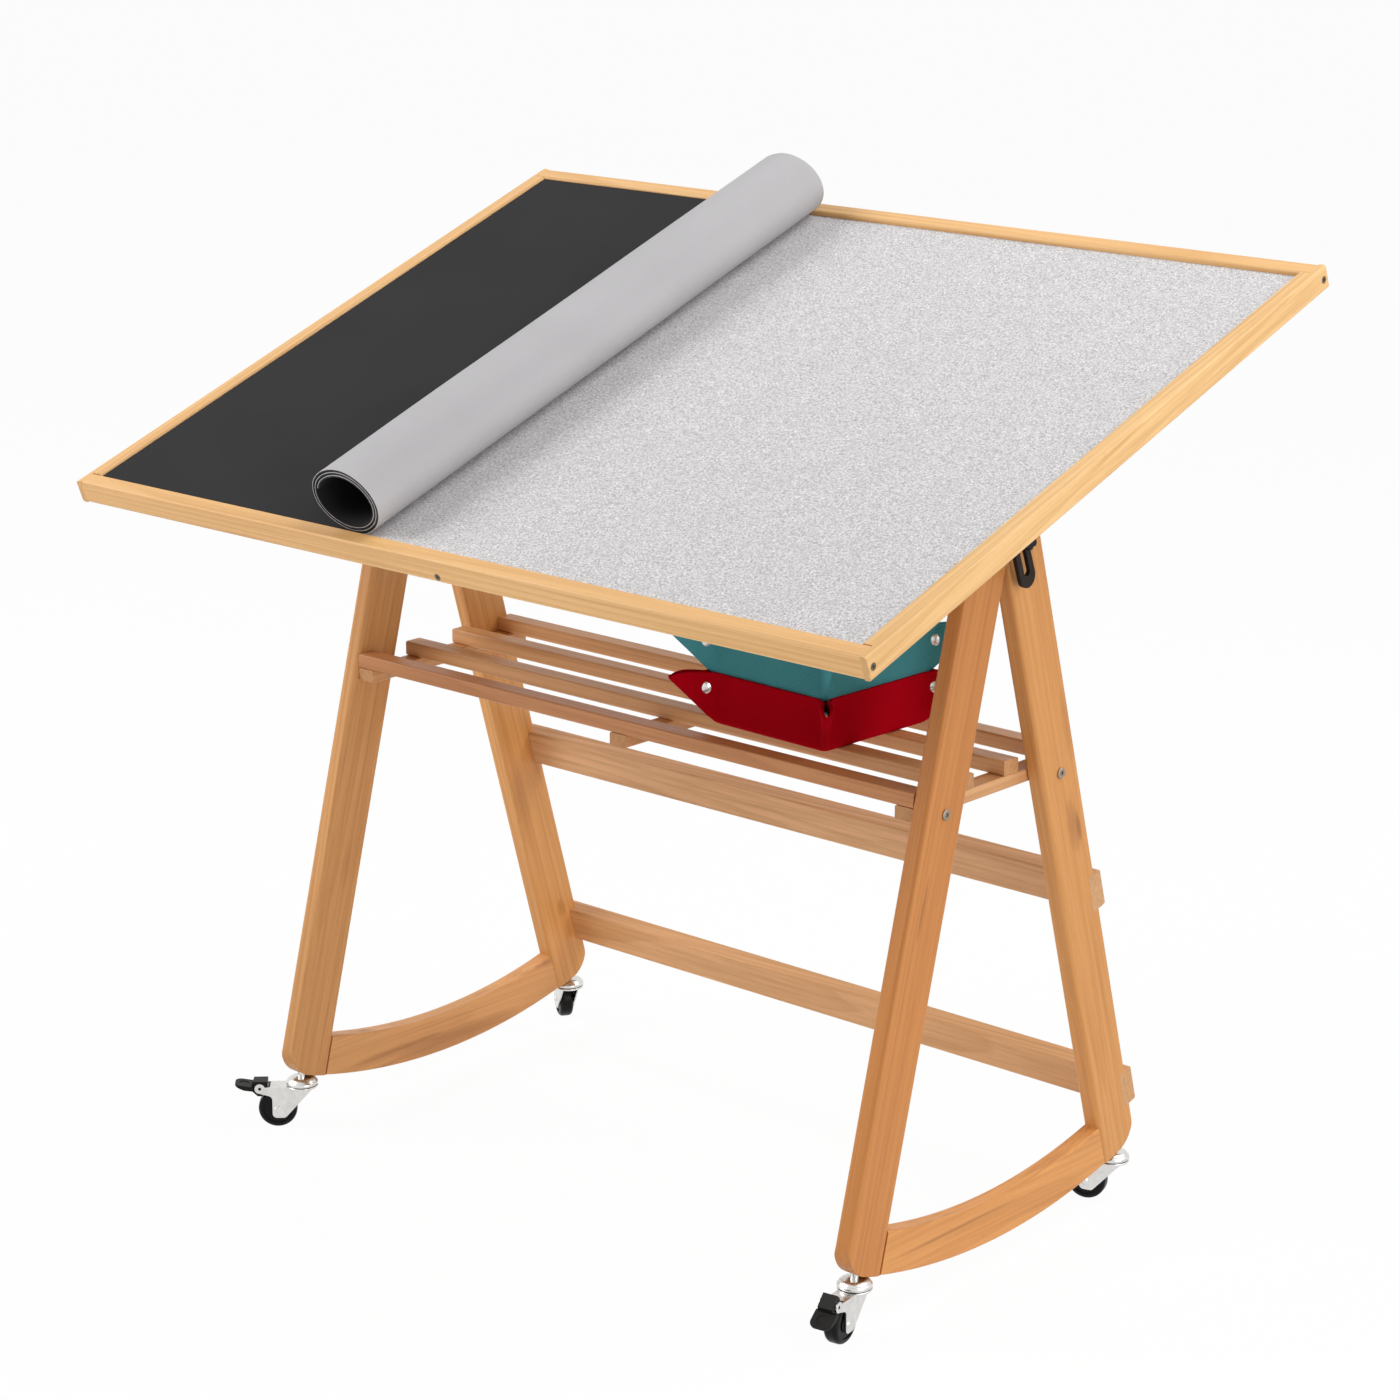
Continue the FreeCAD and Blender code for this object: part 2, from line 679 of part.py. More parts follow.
def caster_fork(with_pedal):
    """Stamped fork about the stem at the origin, trailing along +X, with ears for a pedal."""
    half = fork_inner + fork_sheet
    end_low = wheel_radius - fork_heel
    toe = caster_trail + fork_toe
    ends = [Vector(caster_trail - fork_end_back, -half, end_low), Vector(toe, -half, end_low)]
    pivot = Vector(pedal_pivot_reach, -half, pedal_pivot_height)
    if with_pedal:
        ear_low = pedal_pivot_height - fork_ear_radius
        bends = [Vector(toe, -half, ear_low - fork_ear_rise)]
        front = [Vector(pedal_pivot_reach, -half, ear_low), Vector(pedal_pivot_reach, -half, fork_top)]
    else:
        bends = [Vector(toe, -half, wheel_radius + fork_rise)]
        front = [Vector(fork_back, -half, fork_top)]
    outline = [Vector(-fork_back, -half, fork_top)] + ends + bends + front
    hood = polygon_prism(outline, Y_AXIS * 2 * half)
    corners = [e for p in ends + bends for e in edges_near(hood, Y_AXIS, p)]
    hood = hood.makeFillet(fork_ease, corners)
    if with_pedal:
        hood = hood.fuse(rod(fork_ear_radius, pivot, Y_AXIS, 2 * half))
    reach = pedal_pivot_reach + overrun
    under_web = box(Vector(-reach, -fork_inner, -overrun), Vector(reach, fork_inner, fork_top - fork_web))
    past_web = box(Vector(fork_web_end, -fork_inner, 0), Vector(reach, fork_inner, fork_top + overrun))
    fork = hood.cut(under_web).cut(past_web)
    race = rod(fork_race_radius, Vector(0, 0, fork_top - fork_web), Z_AXIS, fork_web)
    race = race.makeFillet(fork_race_ease, [e for e in race.Edges if isinstance(e.Curve, Part.Circle)])
    fork = fork.fuse(race).removeSplitter()
    fork = fork.cut(rod(stem_radius + fit_gap, ORIGIN, Z_AXIS, fork_top + overrun))
    fork = fork.cut(rod(axle_radius, Vector(caster_trail, -half, wheel_radius), Y_AXIS, 2 * half))
    if with_pedal:
        fork = fork.cut(rod(pedal_pin_radius + fit_gap, pivot, Y_AXIS, 2 * half))
    return fork


def caster_wheel():
    """Moulded wheel with a rounded tread and sunk hub faces."""
    at = Vector(caster_trail, -wheel_wide / 2, wheel_radius)
    wheel = rod(wheel_radius, at, Y_AXIS, wheel_wide)
    wheel = wheel.makeFillet(wheel_ease, [e for e in wheel.Edges if isinstance(e.Curve, Part.Circle)])
    rim_radius = wheel_radius - wheel_ease - hub_sink
    for face in (-wheel_wide / 2, wheel_wide / 2 - hub_sink):
        ring_at = Vector(caster_trail, face, wheel_radius)
        ring = rod(rim_radius, ring_at, Y_AXIS, hub_sink).cut(rod(hub_radius, ring_at, Y_AXIS, hub_sink))
        wheel = wheel.cut(ring)
    return wheel.cut(rod(axle_radius + fit_gap, at, Y_AXIS, wheel_wide))


def caster_axle():
    """Rivet through both cheeks of the fork."""
    half = fork_inner + fork_sheet
    at = Vector(caster_trail, -half, wheel_radius)
    axle = rod(axle_radius, at, Y_AXIS, 2 * half)
    near = Part.makeCone(axle_head_radius, axle_radius, axle_head_tall, at, Y_AXIS * -1)
    far = Part.makeCone(axle_head_radius, axle_radius, axle_head_tall, at + Y_AXIS * 2 * half, Y_AXIS)
    return axle.fuse(near).fuse(far).removeSplitter()


def caster_head():
    """Polished dome with its stem above and the kingpin below, about the origin."""

    def at(out, up):
        return Vector(out, 0, head_rim + up)

    edge = at(head_radius - head_edge, 0)
    shoulder = at(head_shoulder_radius, head_shoulder_tall)
    crown = at(head_crown_radius, head_tall)
    profile = [Part.LineSegment(at(0, 0), edge), Part.Arc(edge, at(head_radius, head_waist), shoulder),
               Part.Arc(shoulder, at(head_bend_radius, head_bend_tall), crown),
               Part.LineSegment(crown, at(0, head_tall)), Part.LineSegment(at(0, head_tall), at(0, 0))]
    dome = Part.Face(Part.Wire([e.toShape() for e in profile])).revolve(ORIGIN, Z_AXIS, 360)
    neck_low = head_rim + head_tall
    stem = rod(stem_radius, Vector(0, 0, neck_low), Z_AXIS, seat_height - neck_low + stem_long)
    pin_low = fork_top - fork_web - kingpin_gap
    kingpin = rod(stem_radius, Vector(0, 0, pin_low), Z_AXIS, head_rim - pin_low)
    button = rod(kingpin_head_radius, Vector(0, 0, pin_low - kingpin_head_tall), Z_AXIS, kingpin_head_tall)
    return dome.fuse(stem).fuse(kingpin).fuse(button).removeSplitter()


def brake_pedal(press_deg):
    """Foot lever that turns between the fork's ears: a cam above the wheel, and a broad tongue."""
    pivot = Vector(pedal_pivot_reach, 0, pedal_pivot_height)

    def slab(side_view, half):
        return polygon_prism([pivot + Vector(out, -half, up) for out, up in side_view], Y_AXIS * 2 * half)

    root = tongue_near + pedal_step
    cam = slab([(-pedal_back, pedal_back_low), (-pedal_back, pedal_top), (tongue_near, pedal_top),
                (root, tongue_top), (root, -tongue_low), (pedal_cam_half, -pedal_cam_drop),
                (-pedal_cam_half, -pedal_cam_drop), (-pedal_cam_back, -pedal_cam_rise)],
               fork_inner - pedal_gap)
    tip_top = tongue_top + tongue_lift
    tongue = slab([(tongue_near, tongue_top), (tongue_far, tip_top), (tongue_far, tongue_tip_low),
                   (tongue_bend, -tongue_bend_drop), (tongue_near, -tongue_low)], tongue_wide / 2)
    far = [pivot + Vector(tongue_far, side * tongue_wide / 2, 0) for side in (-1, 1)]
    plan = box(pivot + Vector(tongue_near, -tongue_wide / 2, -overrun),
               pivot + Vector(tongue_far, tongue_wide / 2, overrun))
    plan = plan.makeFillet(tongue_round, [e for p in far for e in edges_near(plan, Z_AXIS, p)])
    tongue = tongue.common(plan)
    tongue = tongue.makeFillet(tongue_ease, tongue.Edges)
    dish_axis = Vector(-tongue_lift, 0, tongue_far - tongue_near).normalize()
    dish_at = pivot + Vector((tongue_near + tongue_far) / 2, 0, (tongue_top + tip_top) / 2)
    tongue = tongue.cut(rod(tongue_dish_radius, dish_at - dish_axis * tongue_dish, dish_axis, overrun))
    half = fork_inner + fork_sheet
    pin = rod(pedal_pin_radius, pivot - Y_AXIS * half, Y_AXIS, 2 * half)
    pedal = cam.fuse(tongue).fuse(pin).removeSplitter()
    press = FreeCAD.Placement(ORIGIN, FreeCAD.Rotation(Y_AXIS, press_deg), pivot)
    return moved(pedal, press)


def casters():
    """Four casters at their photographed headings; the front two carry brakes."""
    presses = {"front_left": front_left_press_deg, "front_right": front_right_press_deg}
    headings = {"front_left": (-1, front_foot, front_left_heading_deg),
                "front_right": (1, front_foot, front_right_heading_deg),
                "rear_left": (-1, rear_foot, rear_left_heading_deg),
                "rear_right": (1, rear_foot, rear_right_heading_deg)}
    heads = []
    for name, (side, foot, heading) in headings.items():
        spot = Vector(side * frame_middle, foot, 0)
        place = FreeCAD.Placement(spot, FreeCAD.Rotation(Z_AXIS, heading))
        braked = name in presses
        parts["caster_fork_" + name] = moved(caster_fork(braked), place)
        parts["caster_wheel_" + name] = moved(caster_wheel(), place)
        parts["caster_axle_" + name] = moved(caster_axle(), place)
        if braked:
            parts["brake_pedal_" + name] = moved(brake_pedal(presses[name]), place)
        heads.append(shifted(caster_head(), spot))
    parts["caster_heads"] = Part.makeCompound(heads)


def stem_tools():
    """Holes for the right-hand stems in the legs."""
    spots = [Vector(frame_middle, foot, seat_height) for foot in (front_foot, rear_foot)]
    return [rod(stem_radius, spot, Z_AXIS, stem_long) for spot in spots]


def square_wire(half, height):
    """Level square about the origin."""
    corners = [Vector(a * half, b * half, height) for a, b in ((-1, -1), (1, -1), (1, 1), (-1, 1))]
    return Part.makePolygon(corners + corners[:1])


def tray_nest():
    """How far a tray stands above the one that it is nested in, where the flared walls meet."""
    return (tray_felt + tray_nest_gap) * tray_tall / tray_flare


def tray_ear(half_thick):
    """A folded corner out along +X: a slanting fold, a rounded tip and a level top."""
    corner = tray_base / 2 * math.sqrt(2)

    def at(reach_share, height_share):
        return Vector(corner + reach_share * tray_tall, -half_thick, height_share * tray_tall)

    root = at(-ear_root_share, 0)
    tip = at(ear_tip_reach_share, ear_tip_height_share)
    crest = at(ear_crest_reach_share, ear_crest_height_share)
    shoulder = at(ear_shoulder_share, 1)
    back = at(-ear_root_share, 1)
    edges = [Part.LineSegment(root, tip), Part.Arc(tip, crest, shoulder),
             Part.LineSegment(shoulder, back), Part.LineSegment(back, root)]
    outline = Part.Wire([e.toShape() for e in edges])
    return Part.Face(outline).extrude(Y_AXIS * 2 * half_thick)


def ear_snap():
    """A snap with a domed cap on each face of an ear, through the origin along Y."""
    edge = tray_felt + snap_edge
    top = tray_felt + snap_proud
    dome = snap_proud - snap_edge
    dome_radius = (snap_radius ** 2 + dome ** 2) / (2 * dome)
    middle = snap_radius / 2
    bend = top - dome_radius + math.sqrt(dome_radius ** 2 - middle ** 2)

    def at(out, along):
        return Vector(out, along, 0)

    profile = [Part.LineSegment(at(0, -top), at(0, top)),
               Part.Arc(at(0, top), at(middle, bend), at(snap_radius, edge)),
               Part.LineSegment(at(snap_radius, edge), at(snap_radius, -edge)),
               Part.Arc(at(snap_radius, -edge), at(middle, -bend), at(0, -top))]
    return Part.Face(Part.Wire([e.toShape() for e in profile])).revolve(ORIGIN, Y_AXIS, 360)


def felt_tray():
    """Felt tray with four folded ears, each open at its root for the ear above, and its snaps."""
    half = tray_base / 2
    lean_rate = tray_flare / tray_tall
    outer = Part.makeLoft([square_wire(half, 0), square_wire(half + tray_flare, tray_tall)], True, True)
    inner_low = half - tray_felt + lean_rate * tray_felt
    inner_high = half - tray_felt + lean_rate * (tray_tall + tray_felt)
    inner = Part.makeLoft([square_wire(inner_low, tray_felt),
                           square_wire(inner_high, tray_tall + tray_felt)], True, True)
    snap = shifted(ear_snap(), Vector(half * math.sqrt(2) + snap_reach_share * tray_tall, 0,
                                      snap_height_share * tray_tall))
    pocket_half = tray_felt + tray_nest_gap
    fold_gap = tray_nest_gap * math.sqrt(2)
    pocket = shifted(tray_ear(pocket_half), Z_AXIS * (tray_nest() - fold_gap))
    fold_felt = tray_felt * math.sqrt(2)
    cuff = shifted(tray_ear(pocket_half + tray_felt), Z_AXIS * (tray_nest() - fold_gap - fold_felt))
    reach = Vector(tray_base, tray_base, tray_tall)
    cuff = cuff.common(box(Vector(0, -reach.y, 0), reach))
    ear = tray_ear(tray_felt).fuse(cuff)
    tray = outer
    pockets = []
    snaps = []
    for quarter in range(4):
        turn = FreeCAD.Placement(ORIGIN, FreeCAD.Rotation(Z_AXIS, 45 + 90 * quarter))
        tray = tray.fuse(moved(ear, turn))
        pockets.append(moved(pocket, turn))
        snaps.append(moved(snap, turn))
    tray = cut_all(tray, [inner] + pockets + snaps).removeSplitter()
    return tray, Part.makeCompound(snaps)


def trays():
    """Two trays on the shelf: the second wedges in the first where the flared walls meet."""
    tray, snaps = felt_tray()
    stand = Vector(tray_right, tray_back, shelf_top + tray_stand_gap)
    turn = FreeCAD.Rotation(Z_AXIS, tray_turn_deg)
    for name, rise in (("tray_red", 0), ("tray_teal", tray_nest())):
        place = FreeCAD.Placement(stand + Z_AXIS * rise, turn)
        parts[name] = moved(tray, place)
        parts[name + "_snaps"] = moved(snaps, place)


def build_board():
    rail_screws = Screws()
    bracket_screws = Screws()
    board_rails(rail_screws)
    tilt_brackets(bracket_screws)
    board_inside(rail_screws, bracket_screws)
    parts["rail_screws"] = rail_screws.group()
    parts["bracket_screws"] = bracket_screws.group()
    parts["cover_mat"] = cover_mat()
    for name in list(parts):
        parts[name] = moved(parts[name], ON_BOARD)


def build_base():
    stretcher_screws = Screws()
    mid = stretcher(mid_stretcher_height, stretcher_screws)
    low = stretcher(low_stretcher_height, stretcher_screws)
    plain_bolts, shown_bolts = shelf_bolts()
    bolt, slider, washer, knob = clamp()
    bolt_hole = rod(bolt_radius, Vector(frame_inner, bolt_point.y, bolt_point.z), X_AXIS, leg_thick)
    tools = plain_bolts + stem_tools() + stretcher_screws.tools + [bolt_hole]
    front, rear, sway, dowels = a_frame([mid, low], tools)
    for name, shape in (("front_leg", front), ("rear_leg", rear), ("curved_rail", sway)):
        parts[name + "_right"] = shape
        parts[name + "_left"] = mirrored(shape)
    parts["frame_dowels"] = Part.makeCompound(dowels + [mirrored(d) for d in dowels])
    parts["mid_stretcher"] = cut_all(mid, stretcher_screws.tools)
    parts["low_stretcher"] = cut_all(low, stretcher_screws.tools)
    parts["stretcher_screws"] = stretcher_screws.group()
    slat_screws = Screws()
    shelf(slat_screws, plain_bolts + [mirrored(b) for b in plain_bolts])
    parts["slat_screws"] = slat_screws.group()
    parts["shelf_bolts"] = Part.makeCompound(shown_bolts + [mirrored(b) for b in shown_bolts])
    parts["clamp_bolts"] = Part.makeCompound([bolt, mirrored(bolt)])
    parts["clamp_washers"] = Part.makeCompound([washer, mirrored(washer)])
    for name, shape in (("slot_slider", slider), ("knob", knob)):
        parts[name + "_right"] = shape
        parts[name + "_left"] = mirrored(shape)


def centred():
    """The move that puts the origin on the floor under the middle of the overall depth."""
    front_edge = ON_BOARD.multVec(ORIGIN).y
    roll_front = ON_BOARD.multVec(Vector(0, rail_thick + mat_edge_gap, roll_tall - felt_drop + mat_gap)).y
    rear_edge = ON_BOARD.multVec(Vector(0, board_depth, -rail_tall)).y
    return Vector(0, -(min(front_edge, roll_front) + rear_edge) / 2, 0)


build_board()
build_base()
casters()
trays()
shift = centred()
os.makedirs("parts", exist_ok=True)
for name, shape in parts.items():
    shape = shifted(shape, shift)
    if not shape.isValid():
        print("not valid:", name)
    shape.exportStep("parts/" + name + ".step")
bolt_back = bolt_point.y + shift.y
print("nodes", len(parts), "clamp bolt axis at y", round(bolt_back, 3), "shift", round(shift.y, 3))
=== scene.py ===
import json
import math
import random

import bmesh
import bpy
import numpy as np
from mathutils import Matrix, Vector, noise


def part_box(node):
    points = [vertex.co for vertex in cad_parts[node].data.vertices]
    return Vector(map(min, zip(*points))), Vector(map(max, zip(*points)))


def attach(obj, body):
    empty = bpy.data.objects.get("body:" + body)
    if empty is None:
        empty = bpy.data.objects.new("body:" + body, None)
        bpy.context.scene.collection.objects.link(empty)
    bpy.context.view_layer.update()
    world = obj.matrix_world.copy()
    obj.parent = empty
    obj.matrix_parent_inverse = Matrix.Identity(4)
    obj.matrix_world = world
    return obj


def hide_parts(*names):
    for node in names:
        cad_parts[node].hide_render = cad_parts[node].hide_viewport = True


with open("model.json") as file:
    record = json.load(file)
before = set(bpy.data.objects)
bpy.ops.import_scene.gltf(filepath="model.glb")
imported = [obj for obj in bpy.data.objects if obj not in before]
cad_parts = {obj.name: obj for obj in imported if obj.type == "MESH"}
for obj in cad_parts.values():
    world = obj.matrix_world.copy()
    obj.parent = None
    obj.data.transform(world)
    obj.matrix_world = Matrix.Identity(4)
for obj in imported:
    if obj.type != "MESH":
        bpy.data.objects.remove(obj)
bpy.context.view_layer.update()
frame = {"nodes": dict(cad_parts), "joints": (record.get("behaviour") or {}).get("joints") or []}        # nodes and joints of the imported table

bl_info = {
    "name": "Tilting jigsaw table",
    "version": (1, 0, 0),
    "blender": (4, 5, 0),
    "location": "View3D > Sidebar > Jigsaw table",
    "description": "Finishes a tilting felt-topped table, its rolled cover mat and its sorting trays",
    "category": "Object",
}

# Wooden pieces, in the groups that were cut from like boards
RAILS = ("front_rail", "rear_rail", "side_rail_left", "side_rail_right")
LEGS = ("front_leg_left", "front_leg_right", "rear_leg_left", "rear_leg_right",
        "curved_rail_left", "curved_rail_right")
SLATS = ("shelf_slat_1", "shelf_slat_2", "shelf_slat_3", "shelf_slat_4",
         "shelf_bearer_left", "shelf_bearer_middle", "shelf_bearer_right",
         "mid_stretcher", "low_stretcher")
HIDDEN_WOOD = ("centre_batten", "bracket_batten_left", "bracket_batten_right", "frame_dowels")
# Each group's colour settings, and how strongly its rings show
WOODS = ((RAILS, "rail", 0.7), (LEGS, "leg", 0.5), (SLATS, "slat", 0.65), (HIDDEN_WOOD, "slat", 0.6))

# How a board's colour differs from its group's, and how streaky it is. The tints are partly the board's own
# colour and partly painted light: lighter tints paint light onto the left pieces, the stretchers and the
# right-hand rails and legs, and darker tints paint shade onto the right front leg and the front slat
PLAIN_STOCK = ((1, 1, 1), 0.30)
STOCK_AND_PAINTED_LIGHT = {
    "front_leg_right": ((0.90, 0.82, 0.72), 0.30),
    "rear_leg_right": ((1.04, 1.10, 1.14), 0.30),
    "front_leg_left": ((1.02, 1.14, 1.36), 0.18),
    "rear_leg_left": ((1.16, 1.28, 1.42), 0.30),
    "curved_rail_left": ((1.10, 1.26, 1.62), 0.75),
    "curved_rail_right": ((1.08, 1.12, 1.14), 0.40),
    "side_rail_right": ((1.00, 1.05, 1.10), 0.30),
    "low_stretcher": ((1.12, 1.18, 1.22), 0.30),
    "mid_stretcher": ((1.12, 1.22, 1.36), 0.30),
    "shelf_slat_1": ((0.86, 0.72, 0.66), 0.40),
}
# Knots and resin streaks: place, half length along the grain, half width, strength
MARKS = {
    "rear_leg_right": (((0.361, 0.120, 0.393), 0.034, 0.010, 0.50),
                       ((0.361, 0.128, 0.390), 0.018, 0.004, 0.75),
                       ((0.361, 0.107, 0.489), 0.045, 0.009, 0.28)),
    "front_leg_right": (((0.361, -0.094, 0.368), 0.036, 0.0028, 0.65),),
    "rear_leg_left": (((-0.343, 0.191, 0.136), 0.013, 0.007, 0.35),
                      ((-0.343, 0.150, 0.322), 0.060, 0.005, 0.35)),
    "front_leg_left": (((-0.343, -0.110, 0.257), 0.030, 0.007, 0.22),),
    "curved_rail_right": (((0.361, -0.030, 0.056), 0.110, 0.0020, 0.60),),
    "curved_rail_left": (((-0.343, 0.040, 0.038), 0.110, 0.012, 0.50),
                         ((-0.343, -0.045, 0.046), 0.080, 0.004, 0.55)),
}

# Fittings by finish
CASTERS = ("front_left", "front_right", "rear_left", "rear_right")
BOLTS = ("shelf_bolts",)
ZINC = ("caster_heads", "clamp_bolts", "clamp_washers") + tuple(
    "caster_%s_%s" % (piece, spot) for piece in ("fork", "axle") for spot in CASTERS)
WHEELS = tuple("caster_wheel_" + spot for spot in CASTERS)
BLACK_PLASTIC = ("brake_pedal_front_left", "brake_pedal_front_right", "knob_left", "knob_right")
BLACK_STEEL = ("tilt_bracket_left", "tilt_bracket_right")
NYLON = ("slot_slider_left", "slot_slider_right")
SCREWS = ("rail_screws", "bracket_screws", "stretcher_screws", "slat_screws")
SNAPS = ("tray_red_snaps", "tray_teal_snaps")

# Each tray's felt, and what the tray stands on
TRAYS = {"tray_red": ("red_felt", ["shelf_slat_2", "shelf_slat_3"]),
         "tray_teal": ("teal_felt", ["folded_tray_red"])}

MILLIMETRE = 0.001
ROOT_TWO = math.sqrt(2)
WHITE = (1, 1, 1, 1)
CENTRED = (-0.5, -0.5, -0.5)        # moves a pattern of 0 to 1 to either side of 0

# Points in the sheets' grids, and steps in the mat's cross section
FELT_COLUMNS, FELT_ROWS = 181, 125
MAT_ROWS, MAT_FLAT_STEPS, MAT_TURN_STEPS = 73, 70, 60
TRAY_GRID = 161
LOWER_PLY = 0.28                    # share of a sheet's thickness that is its lower ply
SHARP_EDGE = math.radians(50)

# Lights: name, place, height of the point that it faces, and side of its square
LIGHTS = (("key", (-2.4, -2.1, 2.5), 0.6, 2.2),
          ("fill", (4.4, -0.9, 1.3), 0.5, 2.4),
          ("top", (1.3, 1.1, 2.7), 0.7, 2.0),
          ("low", (-1.9, -2.4, 0.5), 0.1, 1.6))
SENSOR_WIDTH = 36
FLOOR_SIDE = 40


# Settings that a user would change


def colour(name, description, default):
    """A colour setting, in linear light."""
    return bpy.props.FloatVectorProperty(name=name, description=description, subtype="COLOR",
                                         default=default, min=0, max=1)


def length(name, description, default):
    """A length setting, in metres."""
    return bpy.props.FloatProperty(name=name, description=description, unit="LENGTH",
                                   default=default, min=0)


def share(name, description, default):
    """A setting from 0 to 1."""
    return bpy.props.FloatProperty(name=name, description=description, subtype="FACTOR",
                                   default=default, min=0, max=1)


def amount(name, description, default):
    """A plain positive setting."""
    return bpy.props.FloatProperty(name=name, description=description, default=default, min=0)


class WoodSettings(bpy.types.PropertyGroup):
    """Colours and figure of the lacquered pine."""

    rail_pale: colour("Rail, pale", "Early wood of the board's rails", (0.87, 0.535, 0.235))
    rail_dark: colour("Rail, dark", "Late wood of the board's rails", (0.66, 0.345, 0.115))
    leg_pale: colour("Leg, pale", "Early wood of the A-frames", (0.70, 0.315, 0.095))
    leg_dark: colour("Leg, dark", "Late wood of the A-frames", (0.53, 0.205, 0.052))
    slat_pale: colour("Slat, pale", "Early wood of the shelf and stretchers", (0.74, 0.40, 0.185))
    slat_dark: colour("Slat, dark", "Late wood of the shelf and stretchers", (0.50, 0.235, 0.085))
    streak: colour("Streak", "Heartwood streaks and resin marks", (0.27, 0.095, 0.028))
    ring_width: length("Ring width", "Distance between growth rings", 0.0065)
    drift: length("Ring drift", "How far the rings wander along a piece", 0.015)
    satin: share("Lacquer roughness", "Roughness of the satin lacquer", 0.40)


class ClothSettings(bpy.types.PropertyGroup):
    """Colours and folds of the felt, the mat and the trays."""

    felt_pale: colour("Felt, pale", "Pale fibres of the board's felt", (0.95, 0.93, 0.935))
    felt_dark: colour("Felt, dark", "Dark fibres of the board's felt", (0.36, 0.35, 0.36))
    mat_black: colour("Mat, upper", "Upper face of the cover mat", (0.0225, 0.0215, 0.023))
    mat_grey: colour("Mat, lower", "Lower face of the cover mat", (0.49, 0.48, 0.49))
    red: colour("Lower tray", "Felt of the lower tray", (0.37, 0.0004, 0.007))
    teal: colour("Upper tray", "Felt of the upper tray", (0.062, 0.255, 0.285))
    mat_thick: length("Mat thickness", "Both plies of the cover mat", 0.002)
    roll_wide: length("Roll width", "Width of the flattened roll", 0.084)
    roll_pitch: length("Roll pitch", "From one turn of the roll to the next", 0.003)
    roll_turns: amount("Roll turns", "Turns in the rolled part of the mat", 2.7)
    mat_wave: length("Mat wave", "How unevenly the mat lies and rolls", 0.0007)
    tray_felt: length("Tray felt", "Thickness of the trays' felt", 0.0025)
    tray_base: length("Tray base", "Side of a tray's base", 0.139)
    tray_tall: length("Tray height", "Height of a tray's walls", 0.050)
    tray_flare: length("Tray flare", "How far a wall leans out at its rim", 0.00325)
    tray_draw: length("Corner draw", "How far the snaps draw a tray's corners in", 0.0026)
    tray_gape: length("Ear gape", "How far each ply of an ear bulges beyond its snap", 0.0030)
    tray_turn: bpy.props.FloatProperty(
        name="Tray turn", description="How far the trays are turned on the shelf", subtype="ANGLE",
        default=math.radians(-2.5))
    tray_corner: length("Sheet corner", "Corner radius of the sheet that a tray is folded from", 0.024)
    tray_stack: length("Tray stack", "How far the upper tray stands above the lower", 0.04385)


class FittingSettings(bpy.types.PropertyGroup):
    """Colours of the casters, clamps and screws."""

    zinc: colour("Zinc", "Bright plating of casters and bolts", (0.74, 0.73, 0.71))
    wheel: colour("Wheel", "Moulded caster wheels", (0.0045, 0.004, 0.0038))
    plastic: colour("Plastic", "Pedals and knobs", (0.007, 0.0065, 0.0062))
    steel: colour("Painted steel", "Tilt brackets", (0.014, 0.009, 0.006))
    bolt: colour("Bolt", "Bronzed bolts of the shelf", (0.40, 0.33, 0.26))
    screw: colour("Screw", "Darkened wood screws", (0.20, 0.16, 0.12))
    nylon: colour("Slider", "Slot sliders", (0.045, 0.045, 0.047))
    ply: colour("Panel", "Underside of the board's panel", (0.52, 0.36, 0.21))


class StageSettings(bpy.types.PropertyGroup):
    """Camera, lights and floor."""

    camera_place: bpy.props.FloatVectorProperty(
        name="Camera place", description="Where the camera stands", subtype="TRANSLATION", unit="LENGTH",
        default=(2.19595, -2.43061, 1.39088))
    camera_heading: bpy.props.FloatProperty(
        name="Camera heading", description="Turn of the view from straight back, to the left",
        subtype="ANGLE", default=math.radians(41.802))
    camera_dip: bpy.props.FloatProperty(
        name="Camera dip", description="How far the view looks down", subtype="ANGLE",
        default=math.radians(15.772))
    lens: amount("Lens", "Focal length in millimetres on a 36 mm sensor", 94.69)
    key_power: amount("Key power", "Watts of the large light above and to the left", 92)
    fill_power: amount("Fill power", "Watts of the light on the right", 69)
    top_power: amount("Top power", "Watts of the light overhead", 48)
    low_power: amount("Low power", "Watts of the light near the floor, in front", 3)
    sky: amount("Sky", "Strength of the light from all round", 0.28)
    floor: colour("Floor", "Colour of the floor", (0.93, 0.93, 0.93))
    floor_white: share("Floor white", "How far the floor is lifted to white in view", 0.96)


SETTINGS = {"table_wood": WoodSettings, "table_cloth": ClothSettings,
            "table_fittings": FittingSettings, "table_stage": StageSettings}


# Materials


